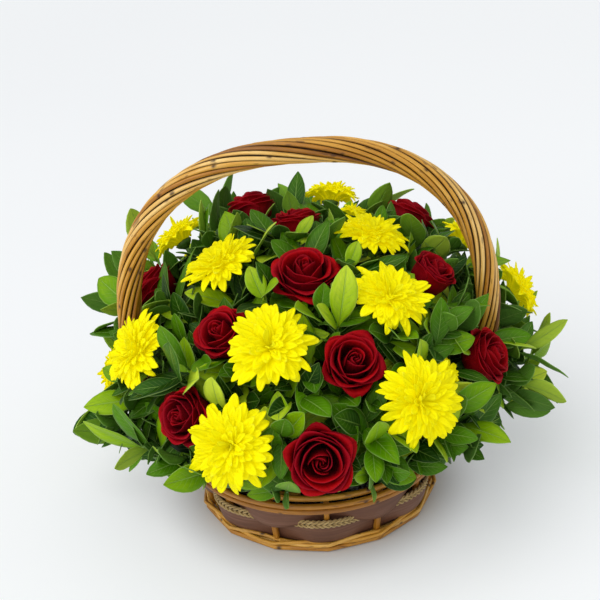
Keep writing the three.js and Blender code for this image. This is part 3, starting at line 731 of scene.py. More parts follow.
def camera():
    """The photograph's viewpoint: in front, looking down, with the camera turned a little."""
    back = Vector(TO_VIEWER)
    right = Vector((1, 0, 0))
    turn = Matrix((right, right.cross(-back), back)).transposed().to_4x4()
    data = bpy.data.cameras.new("camera")
    made = bpy.data.objects.new("camera", data)
    bpy.context.scene.collection.objects.link(made)
    place = Matrix.Translation(Vector((0, 0, CAMERA.aim)) + back * CAMERA.distance)
    made.matrix_world = place @ turn @ Matrix.Rotation(-CAMERA.roll, 4, "Z")
    data.sensor_width = CAMERA.sensor
    data.lens = CAMERA.focal / IMAGE * data.sensor_width
    data.shift_x, data.shift_y = (s / IMAGE for s in CAMERA.shift)
    data.clip_end = CAMERA.clip_end
    bpy.context.scene.camera = made


def studio():
    """A pale floor all round, an even white room, and its lights."""
    mesh = bpy.data.meshes.new("floor")
    corners = [(x * FLOOR.half, y * FLOOR.half, 0) for x, y in ((-1, -1), (1, -1), (1, 1), (-1, 1))]
    mesh.from_pydata(corners, [], [(0, 1, 2, 3)])
    mesh.materials.append(floor_finish())
    floor = bpy.data.objects.new("floor", mesh)
    bpy.context.scene.collection.objects.link(floor)
    world = bpy.data.worlds.new("studio")
    world.use_nodes = True
    background = world.node_tree.nodes["Background"]
    background.inputs["Color"].default_value = ROOM.colour
    background.inputs["Strength"].default_value = ROOM.strength
    bpy.context.scene.world = world
    for name, energy, angle, way, colour in LIGHTS:
        data = bpy.data.lights.new(name, "SUN")
        data.energy = energy
        data.angle = radians(angle)
        data.color = colour
        light = bpy.data.objects.new(name, data)
        bpy.context.scene.collection.objects.link(light)
        light.rotation_euler = Vector(way).to_track_quat("-Z", "Y").to_euler()
    bpy.context.scene.view_settings.view_transform = "Standard"


# ---- The basket ----


def stake_radius(height):
    """How far out the stakes stand at this height."""
    return between(STAKE_FOOT_RADIUS, STAKE_TOP_RADIUS, height / STAKE_TOP)


def weaving(angle):
    """1 at every second stake, where the cord passes outside, and -1 at the others."""
    return -np.cos(STAKES / 2 * (angle - STAKE_TURN))


def pulled_straight(angle):
    """How far out a rod lies that runs straight from stake to stake: 1 at the stakes, less between
    them."""
    side = TURN / STAKES
    offset = np.abs((angle - STAKE_TURN + side / 2) % side - side / 2)
    return np.cos(side / 2) / np.cos(side / 2 - offset)


def willow_rod(line, radius, hint, rng, sides=10):
    """A willow rod along a line, of slightly uneven thickness, with a knot here and there."""
    length = lengths(line)
    knots = np.zeros((len(line), sides))
    for at in np.arange(rng.uniform(0, KNOTS.apart), length[-1], KNOTS.apart):
        near = np.exp(-(((length - at - rng.uniform(-KNOTS.roam, KNOTS.roam)) / KNOTS.size) ** 2))
        knots += near[:, None] * np.exp(-KNOTS.narrow * (1 - np.cos(ring(sides) - rng.uniform(0, TURN))))
    uneven = 1 + wander(length / length[-1], UNEVEN, rng, 7)
    radii = (radius * uneven)[:, None] * (1 + KNOTS.rise * knots)
    tone = np.broadcast_to([rng.random(), rng.random() * 5, 0], (len(line), sides, 3)).copy()
    tone[..., 2] = knots
    return tube(line, radii, hint, tone, sides)


def hooped_rod(radius, height, start, rng, thick, taper, roam, taut=0.0, swing=0.0, phase=0.0):
    """A rod once round the basket. Its thin end runs on inside its thick end for a short way. `swing` is
    how far it turns round a partner rod once in two stakes, and `taut` how straight it runs from stake to
    stake."""
    share = np.linspace(0, OVERLAP.share, ROUND_POINTS)
    angle = start + share * TURN
    turn = STAKES / 2 * (angle - STAKE_TURN) + phase
    inward = smooth(share, OVERLAP.start, 1.0) * thick * OVERLAP.inward
    out = radius + wander(share % 1, roam, rng) + swing * np.cos(turn) - inward
    out = out * between(1, pulled_straight(angle), taut)
    up = height + wander(share % 1, roam, rng, 4) + swing * np.sin(turn)
    return willow_rod(around(angle, out, up), thick * between(1, taper, share), Z, rng)


def foot_and_rim():
    """A single rod and a twisted pair outside the stakes at the foot, and three rods for the rim."""
    rng = np.random.default_rng(3)
    low, high = (stake_radius(height) + STAKE_WIDTH / 2 + ROD / 2 + FOOT.clear for height in FOOT_HEIGHTS)
    heights = [height + rise for height, rise in zip(FOOT_HEIGHTS, FOOT.rise)]
    lowest = hooped_rod(low, heights[0], FOOT.starts[0], rng, **LOWEST_ROD)
    pair = [
        hooped_rod(high, heights[1], phase + FOOT.starts[1], rng, phase=phase, **PAIRED_ROD)
        for phase in (0, pi)
    ]
    piece("foot_willow_1", [lowest], WILLOW, ["foot_rod_1"])
    piece("foot_willow_2", pair, WILLOW, ["foot_rod_2"])
    for i, (radius, height, start) in enumerate(RIM):
        skins = [hooped_rod(radius, height, radians(start), rng, **RIM_ROD)]
        piece(f"rim_willow_{i + 1}", skins, WILLOW, [f"rim_rod_{i + 1}"])


def spokes_and_stakes():
    """Split willow spokes that cross at the hub and turn up into square stakes."""
    rng = np.random.default_rng(5)
    sides = 16
    angle = ring(sides)
    low = SPOKE_HEIGHT / 2
    bend = [(8 * MM, low), (86 * MM, low), (91.2 * MM, low + SPOKE_RISE), (94.2 * MM, STAKE_FULL)]
    skins = []
    for k in range(STAKES):
        azimuth = STAKE_TURN + k * TURN / STAKES
        out, across = around(azimuth), around(azimuth + pi / 2)
        points = [out * r + Z * z for r, z in [*bend, (STAKE_TOP_RADIUS, STAKE_TOP)]]
        line = curve_through(points, 60)
        line[:, 2] = np.maximum(line[:, 2], low)
        thick = between(low, STAKE_WIDTH / 2, smooth(line[:, 2], low, STAKE_FULL))[:, None]
        wide = (np.abs(np.sin(angle)) * 2 / STAKE_WIDTH) ** SQUARENESS
        section = ((np.abs(np.cos(angle)) / thick) ** SQUARENESS + wide) ** (-1 / SQUARENESS)
        tone = (rng.uniform(0, 0.35), rng.random(), 0)
        skins.append(tube(line, section, across, tone, sides))
    hub_line = np.array([[0, 0, z] for z in (0.1, 0.5, 2.5, 2.9)]) * MM
    skins.append(tube(hub_line, np.array([0.93, 1, 1, 0.93]) * HUB_RADIUS, Y, (0.3, 0.5, 0), 28))
    piece("willow_stakes", skins, WILLOW, ["base_spokes_and_stakes"])


def floor_weave():
    """One thin rod coiled from the hub to the wall, dipping between the spokes."""
    rng = np.random.default_rng(6)
    turns = (COIL.outer - COIL.inner) / COIL.apart
    angle = np.linspace(0, turns * TURN, int(turns * COIL_POINTS))
    radius = COIL.inner + COIL.apart * angle / TURN
    dip = 0.5 - 0.5 * np.cos(STAKES * (angle - STAKE_TURN))
    line = around(angle, radius, COIL.height - COIL.dip * dip)
    piece("floor_coil", [willow_rod(line, COIL.thick, Z, rng, 6)], WILLOW, ["base_weave"])


def splints():
    """Two wide splints that pass outside one stake and inside the next, each with its ends overlapped."""
    rng = np.random.default_rng(8)
    for i, (name, low, high, side, start) in enumerate(SPLINTS):
        share = np.linspace(0, SPLINT_END.share, SPLINT_GRID[0])[:, None]
        angle = radians(start) + share * TURN
        v = np.linspace(-1, 1, SPLINT_GRID[1])
        out = weaving(angle)
        parted = SPLINT.part * (1 - out**2) * np.clip(v * side, 0, 1) * side
        edge = wander(share % 1, SPLINT_UNEVEN.edge, rng, 9) + SPLINT.rise * out - parted
        height = between(low, high, (v + 1) / 2) + edge
        crown = SPLINT.crown * (1 - v**2) + wander(share % 1, SPLINT_UNEVEN.crown, rng, 14) * v
        wrinkle = wander(share % 1, SPLINT_UNEVEN.wrinkle, rng, 40) * np.cos(1.3 * v)
        lap = smooth(share, SPLINT_END.start, 1.0) * SPLINT.lap
        radius = stake_radius(height) + side * SPLINT.reach * out + crown + wrinkle - lap
        middle = around(angle * np.ones_like(v), radius, height)
        place = np.stack(np.broadcast_arrays(height + i, 0.0, angle * STAKE_TOP_RADIUS), axis=-1)
        piece(f"dark_{name}", [sheet(middle, SPLINT.thick, place=place)], DARK, [name])


def twisted_cord():
    """Two strands side by side, laid in opposite ways like an ear of wheat, each of two plies of twisted
    grass. They pass outside every second stake and behind the others."""
    rng = np.random.default_rng(9)
    share = np.linspace(0, 1, CORD.turns * CORD_POINTS)
    angle = CORD.start + share * TURN
    out = weaving(angle)
    radius = CORD.radius + CORD.reach * out
    height = CORD.height + SPLINT.rise * out + wander(share, 0.3 * MM, rng, 9)
    gape = np.maximum(0, wander(share, STRANDS.gape, rng, 9)) * smooth(out, 0, 0.6)
    apart = CORD.ply * STRANDS.apart + gape
    skins = []
    for way, ply in ((1, 0), (1, 1), (-1, 0), (-1, 1)):
        lay = way * CORD.turns * TURN * share + ply * pi
        rough = CORD.ply * (1 + wander(share, 0.04, rng, 60))
        centre = height + way * apart
        line = around(angle, radius + CORD.ply * np.cos(lay), centre + CORD.ply * np.sin(lay))
        skins.append(tube(line, rough, Z, (rng.random(), rng.random(), 0), 8))
    piece("grass_cord", skins, STRAW, ["twisted_cord"])


def handle_middle():
    """The line in the middle of the handle, from its right foot to its left one."""
    arc = np.linspace(HOOP.leave, pi - HOOP.leave, 24)
    x, z = np.cos(arc), np.sin(arc)
    shoulder = (np.abs(x) ** HOOP.square + np.abs(z) ** HOOP.square) ** (-1 / HOOP.square)
    radius = HOOP.radius * np.where(z > 0, shoulder, 1)
    hoop = np.stack([HOOP.centre + radius * x, 0 * arc, HOOP.height + radius * z], axis=-1)
    right = np.array([(out, 0, up) for out, up in LEG]) * MM
    return curve_through(np.vstack([right, hoop, right[::-1] * (-1, 1, 1)]), HANDLE_POINTS)


def handle(line):
    """The bundle of rods twisted round a core, tapered where it is let into the wall. Painted shade darkens
    it between rods, on its core and low down on its legs."""
    rng = np.random.default_rng(11)
    length = lengths(line)
    bundle = between(HANDLE.tip, HANDLE.radius, smooth(line[:, 2], HANDLE.low, HANDLE.high))
    packing = sin(pi / HANDLE.rods)
    thick = bundle * packing / (1 + packing)
    out = unit(np.cross(Y, unit(np.gradient(line, axis=0))))
    # The core's third tone number is 1, so it is drawn in full painted shade where it shows between rods.
    skins = [tube(line, bundle - CORE_DEPTH * thick, Y, (0.0, 0.0, 1.0), 8)]
    for k in range(HANDLE.rods):
        twist = TURN * (k / HANDLE.rods + length / HANDLE.pitch)
        twist = twist + wander(length / length[-1], HANDLE_UNEVEN.twist, rng)
        away = (bundle - thick) * (1 + wander(length / length[-1], HANDLE_UNEVEN.away, rng, 7))
        rod = line + away[:, None] * (np.cos(twist)[:, None] * out + np.sin(twist)[:, None] * Y)
        radius = thick * rng.uniform(HANDLE_UNEVEN.thinnest, 1.0)
        points, faces, place, tone = willow_rod(rod, radius, Y, rng)
        # Painted shade: the rods are drawn darker low down, towards the legs.
        tone[:, 0] -= HANDLE_LOW_SHADE.depth * (1 - smooth(points[:, 2], HANDLE_LOW_SHADE.low, HANDLE_LOW_SHADE.high))
        # Painted shade: the deeper a point of a rod lies between the others, the darker it is drawn.
        depth = bundle[:, None] - np.linalg.norm(points.reshape(len(line), -1, 3) - line[:, None], axis=-1)
        shaded = smooth(depth / thick[:, None], PAINTED_GAP_SHADE.start, 1.0) * PAINTED_GAP_SHADE.most
        tone[:, 2] = np.maximum(tone[:, 2], shaded.ravel())
        skins.append((points, faces, place, tone))
    piece("willow_handle", skins, WILLOW, ["handle"])


def liner():
    """Film that lines the basket, crumpled and laid against the rim between the handle's feet."""
    rng = np.random.default_rng(13)
    share = np.linspace(0, 1.02, 240)[:, None]
    angle = share * TURN
    floor = np.linspace(3 * MM, LINER.foot, 12)
    wall = np.linspace(0, 1, 16)[1:]
    fold = wander(share % 1, 1.0, rng, 24)
    near_legs = smooth(np.abs(np.sin(angle)), 0.3, 0.6)
    flare = LINER.flare * near_legs * (0.75 + 0.25 * np.tanh(fold)) * smooth(wall, 0.8, 1.0) ** 1.3
    wall_radius = between(LINER.foot, LINER.top, wall) + flare + LINER_FOLD.out * fold * wall
    wall_height = between(LINER.low, LINER.high, wall) + LINER_FOLD.up * np.tanh(fold) * wall**4
    radius = np.concatenate([floor * np.ones_like(share), wall_radius], axis=1)
    height = np.concatenate([LINER.low * np.ones_like(share) * np.ones_like(floor), wall_height], axis=1)
    middle = around(angle * np.ones_like(radius), radius + LINER_FOLD.lap * (share > 1), height)
    piece("film_liner", [sheet(middle, LINER.thick)], FILM, ["liner"])


def foam():
    """The block of foam: a short drum with a domed top and a pitted skin."""
    rng = np.random.default_rng(14)
    tilt = np.radians(np.linspace(80, 2, 22))
    radius = np.concatenate([[74, 77.2, 77.4], np.minimum(FOAM.dome * np.sin(tilt), FOAM.radius) / MM]) * MM
    dome = FOAM.middle + FOAM.rise * np.cos(tilt)
    height = np.concatenate([[FOAM.low, FOAM.low + 1 * MM, 30 * MM], dome])
    line = np.stack([0 * height, 0 * height, height], axis=-1)
    pits = 1 - FOAM_PITS * rng.random((len(height), 64))
    piece("foam_block", [tube(line, radius[:, None] * pits, Y, sides=64)], GREEN_FOAM, ["foam"])


# ---- Flowers ----


def node_points(name):
    """The distinct points of a CAD node, and the three corners of each of its faces."""
    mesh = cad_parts[name].data
    mesh.calc_loop_triangles()
    points = np.zeros(len(mesh.vertices) * 3)
    mesh.vertices.foreach_get("co", points)
    corners = np.zeros(len(mesh.loop_triangles) * 3, int)
    mesh.loop_triangles.foreach_get("vertices", corners)
    merged, index = np.unique(np.round(points.reshape(-1, 3), 5), axis=0, return_inverse=True)
    return merged, index.ravel()[corners].reshape(-1, 3)


def head_of(name, base, widest):
    """A flower head's centre, axis and radius, read from its CAD node. Its lowest point is `base` radii
    along its axis and its widest one `widest` radii from it."""
    points, _ = node_points(name)
    head = points[np.linalg.norm(points - FOCUS, axis=1) > HEAD_FROM]
    axis = unit(head.mean(axis=0) - FOCUS)
    along = (head - FOCUS) @ axis
    radius = np.linalg.norm(head - FOCUS - along[:, None] * axis, axis=1).max() / widest
    return FOCUS + axis * (along.min() - base * radius), axis, radius


def stand(centre, axis, radius, turn):
    """The 3x4 array that puts a shape made round +Z, in units of a head's radius, at its place."""
    side = across_of(axis)
    basis = np.stack([side, np.cross(axis, side), axis], axis=1)
    spin = np.array([[cos(turn), -sin(turn), 0], [sin(turn), cos(turn), 0], [0, 0, 1]])
    return np.concatenate([basis @ spin * radius, centre[:, None]], axis=1)


def rooted(axis):
    """Where the stem of a flower that faces this way ends in the foam, and its knee outside it."""
    tilt = acos(axis[2]) * STEM.share
    height = FOAM.middle + FOAM.rise * cos(tilt)
    entry = around(atan2(axis[1], axis[0]), FOAM.dome * sin(tilt), height)
    inward = unit(Z * (FOAM.middle - STEM.aim) - entry)
    return entry + inward * STEM.inside, entry - inward * STEM.outside


def flower_stem(centre, axis, below, thick):
    """A stem from under a head, down to its knee and into the foam."""
    end, knee = rooted(axis)
    top = centre - axis * below
    line = curve_through([end, knee, between(knee, top, 0.5), top], 26)
    return tube(line, thick, across_of(axis), sides=8)


def cup(outline, centre, axis, radius):
    """The green cup or hip under a head. Its outline is (height, radius) in units of the head's radius."""
    outline = np.array(outline)
    return tube(centre + axis * outline[:, :1] * radius, outline[:, 1] * radius, across_of(axis), sides=14)


def rose_petal(whorl, turn, opened, rng):
    """One petal round the axis: a bowl that rises and rolls back at its lip and corners, with a faint
    point in the middle, and tucked in at one side."""
    rows, columns = ROSE_GRID
    t, u = np.meshgrid(np.linspace(0, 1, rows), np.linspace(-1, 1, columns), indexing="ij")
    top = whorl.top + rng.normal() * 0.015
    closed = (1 - opened) * smooth(whorl.belly, 0.3, 0.75)
    belly, lip = whorl.belly * (1 - 0.12 * closed), whorl.lip * (1 - 0.25 * closed)
    top = between(top, 0.4, 0.8 * closed)
    curl = whorl.curl * rng.uniform(0.75, 1.2) * (1 - 0.4 * closed)
    reach = t * (1 - 0.17 * np.abs(u) ** 2.6)
    foot = [(0.1, ROSE_FOOT), (belly + 0.1, ROSE_FOOT + 0.02)]
    profile = bezier([*foot, (belly, between(ROSE_FOOT, top, 0.62)), (lip, top)], reach)
    roll = np.clip((reach - 0.72) / 0.28, 0, 1) ** 2 * curl * (0.6 + 0.4 * (1 - np.abs(u)))
    corner = curl * t**3 * np.abs(u) ** 3
    point = curl * t**8 * np.exp(-((u / 0.22) ** 2))
    phase = rng.uniform(0, TURN, 2)
    radius = profile[..., 0] + 0.15 * roll + 0.05 * u * t + 0.06 * corner + 0.035 * point
    radius = radius * (1 - whorl.flat * np.cos(pi * u) * smooth(t, 0.3, 1))
    radius = radius * (1 + 0.025 * t**2 * np.sin(3.2 * u + phase[0]))
    height = profile[..., 1] - 0.09 * roll**2 - 0.04 * corner
    height = height + 0.018 * t**2 * np.sin(4.5 * u + phase[1])
    angle = turn + u * whorl.wrap * rng.uniform(0.9, 1.1) * (0.85 + 0.15 * t)
    return around(angle, np.maximum(radius, 0.02), height)


def sepal(turn, rng):
    """One sepal under a rose, on the side at this angle."""
    droop = rng.uniform(-0.1, 0.06)
    bend = [(0.12, -0.8), (0.3, -0.84), (0.55, -0.82 + droop), (0.86, -0.64 + droop)]
    line = bezier(bend, np.linspace(0, 1, 8))
    across = np.broadcast_to(around(turn + pi / 2), (8, 3))
    half = 0.12 * np.sqrt(np.linspace(1, 0.002, 8))
    return ribbon(around(turn, line[:, 0], line[:, 1]), across, half, 0.3, 5)


def rose(name, rng):
    """A rose head of petals in whorls, and its green stem, hip and sepals."""
    centre, axis, radius = head_of(name, *ROSE_HEAD.model)
    place = stand(centre, axis, radius, rng.uniform(0, TURN))
    petals = []
    start = 0.0
    opened = FRONT_OPENED if name == FRONT_ROSE else rng.uniform(0.15, 1)
    for whorl in ROSE_WHORLS:
        start += rng.uniform(0.4, 0.9)
        for k in range(whorl.petals):
            turn = start + TURN * (k / whorl.petals) + rng.normal() * 0.07
            grid = rose_petal(whorl, turn, opened, rng)
            tone = (rng.random(), rng.random() ** 2, whorl.belly)
            petals.append(moved_sheet(grid, place, PETAL_THICK, tone))
    piece(f"{name}_petals", petals, RED, [name])
    stem = flower_stem(centre, axis, radius * ROSE_HEAD.neck, STEM.rose)
    greens = [stem, cup(ROSE_HIP, centre, axis, radius)]
    for k in range(SEPALS):
        grid = sepal(TURN * k / SEPALS + rng.normal() * 0.1, rng)
        greens.append(moved_sheet(grid, place, SEPAL_THICK, (rng.random(), 0, 0)))
    piece(f"{name}_greens", greens, STALK)
    return centre, axis, radius


def floret(share, rng):
    """A strap floret on the +X side, with a blunt point. Share is 0 at the head's centre and 1 at its
    rim."""
    rows, columns = MUM_GRID
    table = np.array(MUM_TIPS)
    stray = rng.random() < STRAYS
    tip_out = np.interp(share, table[:, 0], table[:, 1]) * (1.06 if stray else rng.uniform(0.78, 1.04))
    tip_up = np.interp(share, table[:, 0], table[:, 2]) + rng.normal() * (0.16 if stray else 0.07)
    root = (0.03 + 0.17 * share, -0.06 - 0.14 * share)
    rise = (between(0.05, 0.4, share) + 0.02, root[1] + between(0.36, 0.2, share))
    bend = (between(0.1, 0.76, share), between(0.36, 0.1, share))
    t = 1 - (1 - np.linspace(0, 1, rows)) ** 1.4
    line = bezier([root, rise, bend, (tip_out, tip_up)], t)
    middle = np.stack([line[:, 0], rng.normal() * 0.07 * t**2, line[:, 1]], axis=-1)
    end = np.clip((t - 0.58) / 0.42, 0, 1)
    outline = (0.32 + 0.68 * smooth(t, 0, 0.66)) * np.maximum(1 - end**2.6, 0.02) ** 0.6
    half = FLORET_WIDTH * between(0.45, 1.0, share**0.5) * rng.uniform(0.75, 1.15) * outline
    lean = rng.normal() * 0.28 * t
    across = np.stack([-np.sin(lean) * 0.3, np.cos(lean), np.sin(lean)], axis=-1)
    return ribbon(middle, across, half, rng.uniform(0.1, 0.75), columns)


def chrysanthemum(name, centre, axis, radius, florets, rng, replaces=()):
    """A head whose florets are set round it by the golden angle, and its stem and green cup."""
    skins = []
    for k in range(florets):
        even = (k + 0.5) / florets
        share = between(sqrt(even), even, 0.35)
        place = stand(centre, axis, radius, k * GOLDEN + rng.normal() * 0.06)
        skins.append(moved_sheet(floret(share, rng), place, FLORET_THICK, (rng.random(), share, 0)))
    piece(f"{name}_florets", skins, YELLOW, replaces)
    stem = flower_stem(centre, axis, radius * MUM_HEAD.neck, STEM.mum)
    greens = [stem, cup(MUM_CUP, centre, axis, radius)]
    piece(f"{name}_greens", greens, STALK)
    return centre, axis, radius


def mum(name, rng):
    """A chrysanthemum that stands for its CAD node."""
    return chrysanthemum(name, *head_of(name, *MUM_HEAD.model), MUM_FLORETS, rng, [name])


def side_blooms(rng):
    """Smaller blooms that open beside some of the chrysanthemums, each on its own stem."""
    made = []
    for i, (azimuth, tilt, reach, radius) in enumerate(SIDE_BLOOMS):
        axis = facing(radians(azimuth), radians(tilt))
        centre = FOCUS + axis * reach * MM
        made.append(chrysanthemum(f"side_mum_{i + 1}", centre, axis, radius * MM, SIDE_FLORETS, rng))
    return made


# ---- Leaves ----


@functools.cache
def leaf_steps(rows):
    """How far along a leaf its rows lie: closer together at its foot and tip."""
    t = 0.5 - 0.5 * np.cos(np.linspace(0.08, 1, rows) * pi)
    return (t - t[0]) / (1 - t[0])


def leaf_grid(root, along, up, length, width, rng, rows, columns):
    """The middle of a leaf from its root: a short stalk and an oval blade with a pointed tip, folded along
    its midrib, arched, and a little waved and twisted."""
    across = np.cross(up, along)
    t = leaf_steps(rows)
    blade = np.clip((t - LEAF.blade) / (1 - LEAF.blade), 0, 1)
    outline = blade ** rng.uniform(0.75, 0.95) * (1 - blade) ** rng.uniform(0.75, 1.0)
    half = np.maximum(width / 2 * outline / outline.max(), LEAF.stalk * between(1, 0.3, t))
    drop = LEAF.arch * length * t**2
    sway = rng.normal() * 0.04 * length * t**2
    line = root + along * (length * t)[:, None] - up * drop[:, None] + across * sway[:, None]
    twist = rng.normal() * 0.2 * t
    turned = across * np.cos(twist)[:, None] + up * np.sin(twist)[:, None]
    grid = ribbon(line, turned, half, LEAF.fold * rng.uniform(0.6, 1.2), columns)
    u = np.linspace(-1, 1, columns)
    wave = np.sin(t[:, None] * rng.uniform(8, 13) + np.sign(u) * rng.uniform(0, 2) + rng.uniform(0, 6))
    ripple = 0.05 * half[:, None] * wave * u**2 - 0.1 * half[:, None] * u**4
    return grid + up * ripple[..., None]


def leaf_skin(grid, shade, rng):
    """A leaf of this shade on its middle grid."""
    return sheet(grid, LEAF.thick, (shade, rng.random() * 4, 0), leaf_steps(len(grid)))


def cad_leaves(name):
    """The leaves of a CAD branch, read from their pointed tips: root, direction, upward side, length,
    width."""
    points, corners = node_points(name)
    neighbours = [set() for _ in points]
    for face in corners:
        for corner in face:
            neighbours[corner] |= set(face) - {corner}
    found = []
    for tip, near in enumerate(neighbours):
        if len(near) != 4:
            continue
        around_tip = points[sorted(near)]
        if np.linalg.norm(around_tip - points[tip], axis=1).min() < CAD_TIP.edge:
            continue
        pairs = [((0, 1), (2, 3)), ((0, 2), (1, 3)), ((0, 3), (1, 2))]
        pairs = [way for p, q in pairs for way in ((p, q), (q, p))]
        gaps = [(np.linalg.norm(around_tip[p[0]] - around_tip[p[1]]), p, q) for p, q in pairs]
        gap, ribs, edges = min(gaps)
        if gap > CAD_TIP.rib:
            continue
        rib = around_tip[list(ribs)].mean(axis=0)
        left, right = around_tip[list(edges)]
        width = np.linalg.norm(left - right)
        side = (left - right) / width
        up = (left + right) / 2 - rib
        up = unit(up - side * (up @ side))
        chord = points[tip] - rib
        along = np.cross(side, up)
        along = along * np.sign(along @ chord)
        length = np.linalg.norm(chord) / hypot(CAD_TIP.back, LEAF.arch * (1 - (1 - CAD_TIP.back) ** 2))
        root = points[tip] - along * length + up * LEAF.arch * length
        found.append((root, along, up, length, width))
    return found


def twig(tip):
    """A twig from the foam to the place where its leaves sit."""
    axis = unit(tip - FOCUS)
    end, knee = rooted(axis)
    line = curve_through([end, knee, between(knee, tip, 0.6) + Z * 2 * MM, tip], 16)
    return tube(line, np.linspace(TWIG, TWIG * 0.6, 16), across_of(axis), sides=6)


def branches(room):
    """A fine leaf for each leaf of the CAD branches, and a twig under each whorl."""
    rng = np.random.default_rng(21)
    for name in sorted(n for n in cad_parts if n.startswith("leaf_branch")):
        skins = []
        whorls = []
        for root, along, up, length, width in cad_leaves(name):
            if all(np.linalg.norm(other - root) > SAME_TWIG for other in whorls):
                whorls.append(root)
            for share, slim in FINE_LEAF:
                grid = leaf_grid(root, along, up, length * share, width * slim, rng, *LEAF.grid)
                if not room.crowded(grid[4:]):
                    break
            room.add(grid[2:])
            skins.append(leaf_skin(grid, rng.uniform(0.1, 1.0), rng))
        piece(f"{name}_leaves", skins, LEAFY, [name])
        piece(f"{name}_twigs", [twig(whorl) for whorl in whorls], STALK)


class Room:
    """A grid over the arrangement whose cells are free or taken, so that leaves keep out of other
    things."""

    def __init__(self, low, high):
        self.low = low
        self.shape = np.ceil((high - low) / CELL).astype(int)
        self.centres = low + (np.moveaxis(np.indices(self.shape), 0, -1) + 0.5) * CELL
        self.taken = np.ones(self.shape, bool)
        self.taken[1:-1, 1:-1, 1:-1] = False

    def cells(self, points):
        index = np.floor((points.reshape(-1, 3) - self.low) / CELL).astype(int)
        return tuple(np.clip(index, 0, self.shape - 1).T)

    def crowded(self, points):
        return self.taken[self.cells(points)].mean() > CROWDED

    def add(self, points):
        self.taken[self.cells(points)] = True

    def close(self, profile, centre, axis, radius):
        """Takes the cells in a solid of revolution, whose profile is (height, radius) in units of a
        head."""
        offset = (self.centres - centre) / radius
        height = offset @ axis
        away = np.sqrt(np.maximum((offset**2).sum(axis=-1) - height**2, 0))
        self.taken |= away < np.interp(height, *np.array(profile).T, left=-1, right=-1)


def room_for_leaves(heads, line):
    """The room between the flowers, over the basket and round the handle, within the model's box."""
    low, high = (np.array(corner) for corner in cad_box)
    margin = (high - low) * BOX_MARGIN
    room = Room(low - margin - CELL, high + margin + CELL)
    x, y, z = np.moveaxis(room.centres, -1, 0)
    away = np.hypot(x, y)
    front = np.maximum(0, -y / np.maximum(away, CELL))
    rise = between(LEAF_LOWEST.side_rise, LEAF_LOWEST.front_rise, front)
    overhang = np.maximum(0, away - LEAF_LOWEST.start) * rise
    room.taken |= z < between(LEAF_LOWEST.side, LEAF_LOWEST.front, front) + overhang
    room.taken |= (z < RIM_CLEAR.height) & (away < RIM_CLEAR.radius)
    room.taken |= (away / (FOAM.dome + CELL)) ** 2 + ((z - FOAM.middle) / (FOAM.rise + CELL)) ** 2 < 1
    plane = room.centres[:, 0][..., ::2]
    near = np.full(plane.shape[:2], np.inf)
    for at in line[::4]:
        near = np.minimum(near, ((plane - at[::2]) ** 2).sum(axis=-1))
    room.taken |= near[:, None] + y**2 < HANDLE_CLEAR**2
    room.taken |= np.all((room.centres > HAND_SPACE[0]) & (room.centres < HAND_SPACE[1]), axis=-1)
    for profile, centre, axis, radius in heads:
        room.close(profile, centre, axis, radius)
        if axis @ TO_VIEWER > SIGHT.away:
            way = [(SIGHT.start, SIGHT.wide), (1 / radius, SIGHT.wide)]
            above = axis * radius * SIGHT.above * (1 - axis @ TO_VIEWER)
            room.close(way, centre + above, TO_VIEWER, radius)
    return room


def whorl_of_leaves(tip, axis, kind, rng, room):
    """Leaves round the tip of a twig. One that has no room is turned, leaned and shortened, or left
    out."""
    side = across_of(axis)
    up = np.cross(axis, side)
    start = rng.uniform(0, TURN)
    skins = []
    for k in range(kind.leaves):
        for attempt in range(WHORL.tries):
            strain = attempt / WHORL.tries
            turn = start + k * GOLDEN + rng.uniform(-1, 1) * (0.3 + STRAIN.turn * strain)
            spread = WHORL.spread + STRAIN.lean * strain
            lean = radians(WHORL.lean + WHORL.step * k + rng.uniform(-1, 1) * spread)
            radial = side * cos(turn) + up * sin(turn)
            along = axis * cos(lean) + radial * sin(lean)
            face = axis * sin(lean) - radial * cos(lean)
            length = kind.size * rng.uniform(*WHORL.long) * (1 - STRAIN.shorter * strain)
            width = length * rng.uniform(*WHORL.wide)
            grid = leaf_grid(tip - axis * WHORL.apart * k, along, face, length, width, rng, *kind.grid)
            if not room.crowded(grid[4:]):
                room.add(grid[3:])
                young = 0.2 * (1 - k / kind.leaves)
                skins.append(leaf_skin(grid, between(*kind.shade, rng.random()) + young, rng))
                break
    return skins


def flowers_reach(axis, heads):
    """How far from the focus the flowers are that lie near this direction."""
    offsets = np.array([centre - FOCUS for _, centre, *_ in heads])
    reach = np.linalg.norm(offsets, axis=1)
    angle = np.arccos(np.clip(offsets @ axis / reach, -1, 1))
    weight = np.exp(-((angle / SPRAY_REACH.near) ** 2)) + 1e-6
    return (weight * reach).sum() / weight.sum()


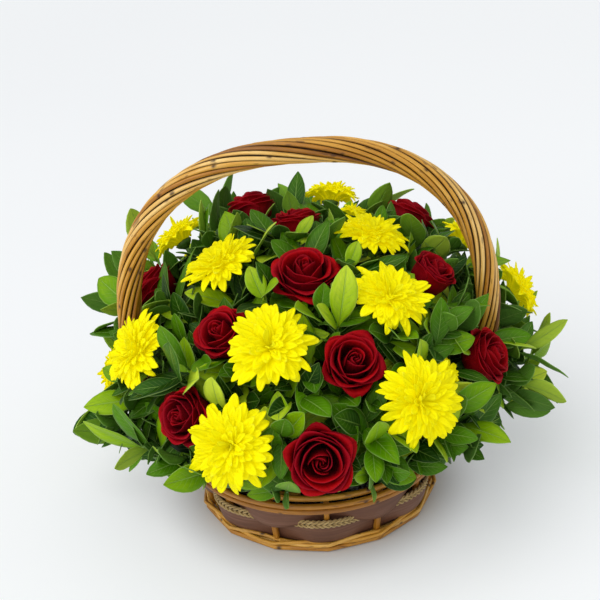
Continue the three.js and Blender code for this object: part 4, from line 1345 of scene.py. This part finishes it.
def sprays(room, heads):
    """Leafy sprays all round, from the outer ones inwards and then the smallest, in one object for each
    sector of the round."""
    rng = np.random.default_rng(23)
    sectors = [([], []) for _ in range(SECTORS)]
    for kind in SPRAYS:
        for i in range(kind.sprays):
            tilt = acos(1 - (i + 0.5) / kind.sprays * (1 - cos(SPRAY.lowest)))
            azimuth = i * GOLDEN + rng.normal() * 0.06
            axis = facing(azimuth, tilt)
            front = max(0, -sin(azimuth))
            low = smooth(tilt, *SPRAY.low)
            bulge = exp(-(((tilt - SPRAY.widest) / SPRAY.bulge) ** 2))
            side = SPRAY_REACH.side * (1 - SPRAY_REACH.left * cos(azimuth))
            reach = rng.uniform(*kind.reach) + flowers_reach(axis, heads)
            reach += side * (1 - front) * bulge + SPRAY_REACH.front * front * low
            reach -= SPRAY_REACH.under * smooth(tilt, SPRAY.widest, SPRAY.lowest)
            reach += SPRAY_REACH.back * max(0, sin(azimuth)) * (1 - low)
            tip = FOCUS + axis * reach
            if room.crowded(tip):
                continue
            leaves = whorl_of_leaves(tip, axis, kind, rng, room)
            if len(leaves) >= WHORL.fewest:
                sector = sectors[int(azimuth % TURN / (TURN / SECTORS)) % SECTORS]
                sector[0].extend(leaves)
                sector[1].append(twig(tip))
    for k, (leaves, twigs) in enumerate(sectors):
        piece(f"spray_leaves_{k + 1}", leaves, LEAFY)
        piece(f"spray_twigs_{k + 1}", twigs, STALK)


# ---- The whole arrangement ----

camera()
studio()
foot_and_rim()
spokes_and_stakes()
floor_weave()
splints()
twisted_cord()
handle_line = handle_middle()
handle(handle_line)
liner()
foam()

flower_random = np.random.default_rng(17)
flower_heads = []
for flower_name in sorted(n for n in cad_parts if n.startswith(("rose_", "mum_"))):
    make, head_profile = (rose, ROSE_PROFILE) if flower_name.startswith("rose") else (mum, MUM_PROFILE)
    flower_heads.append((head_profile, *make(flower_name, flower_random)))
flower_heads += [(MUM_PROFILE, *bloom) for bloom in side_blooms(flower_random)]
leaf_room = room_for_leaves(flower_heads, handle_line)
branches(leaf_room)
sprays(leaf_room, flower_heads)
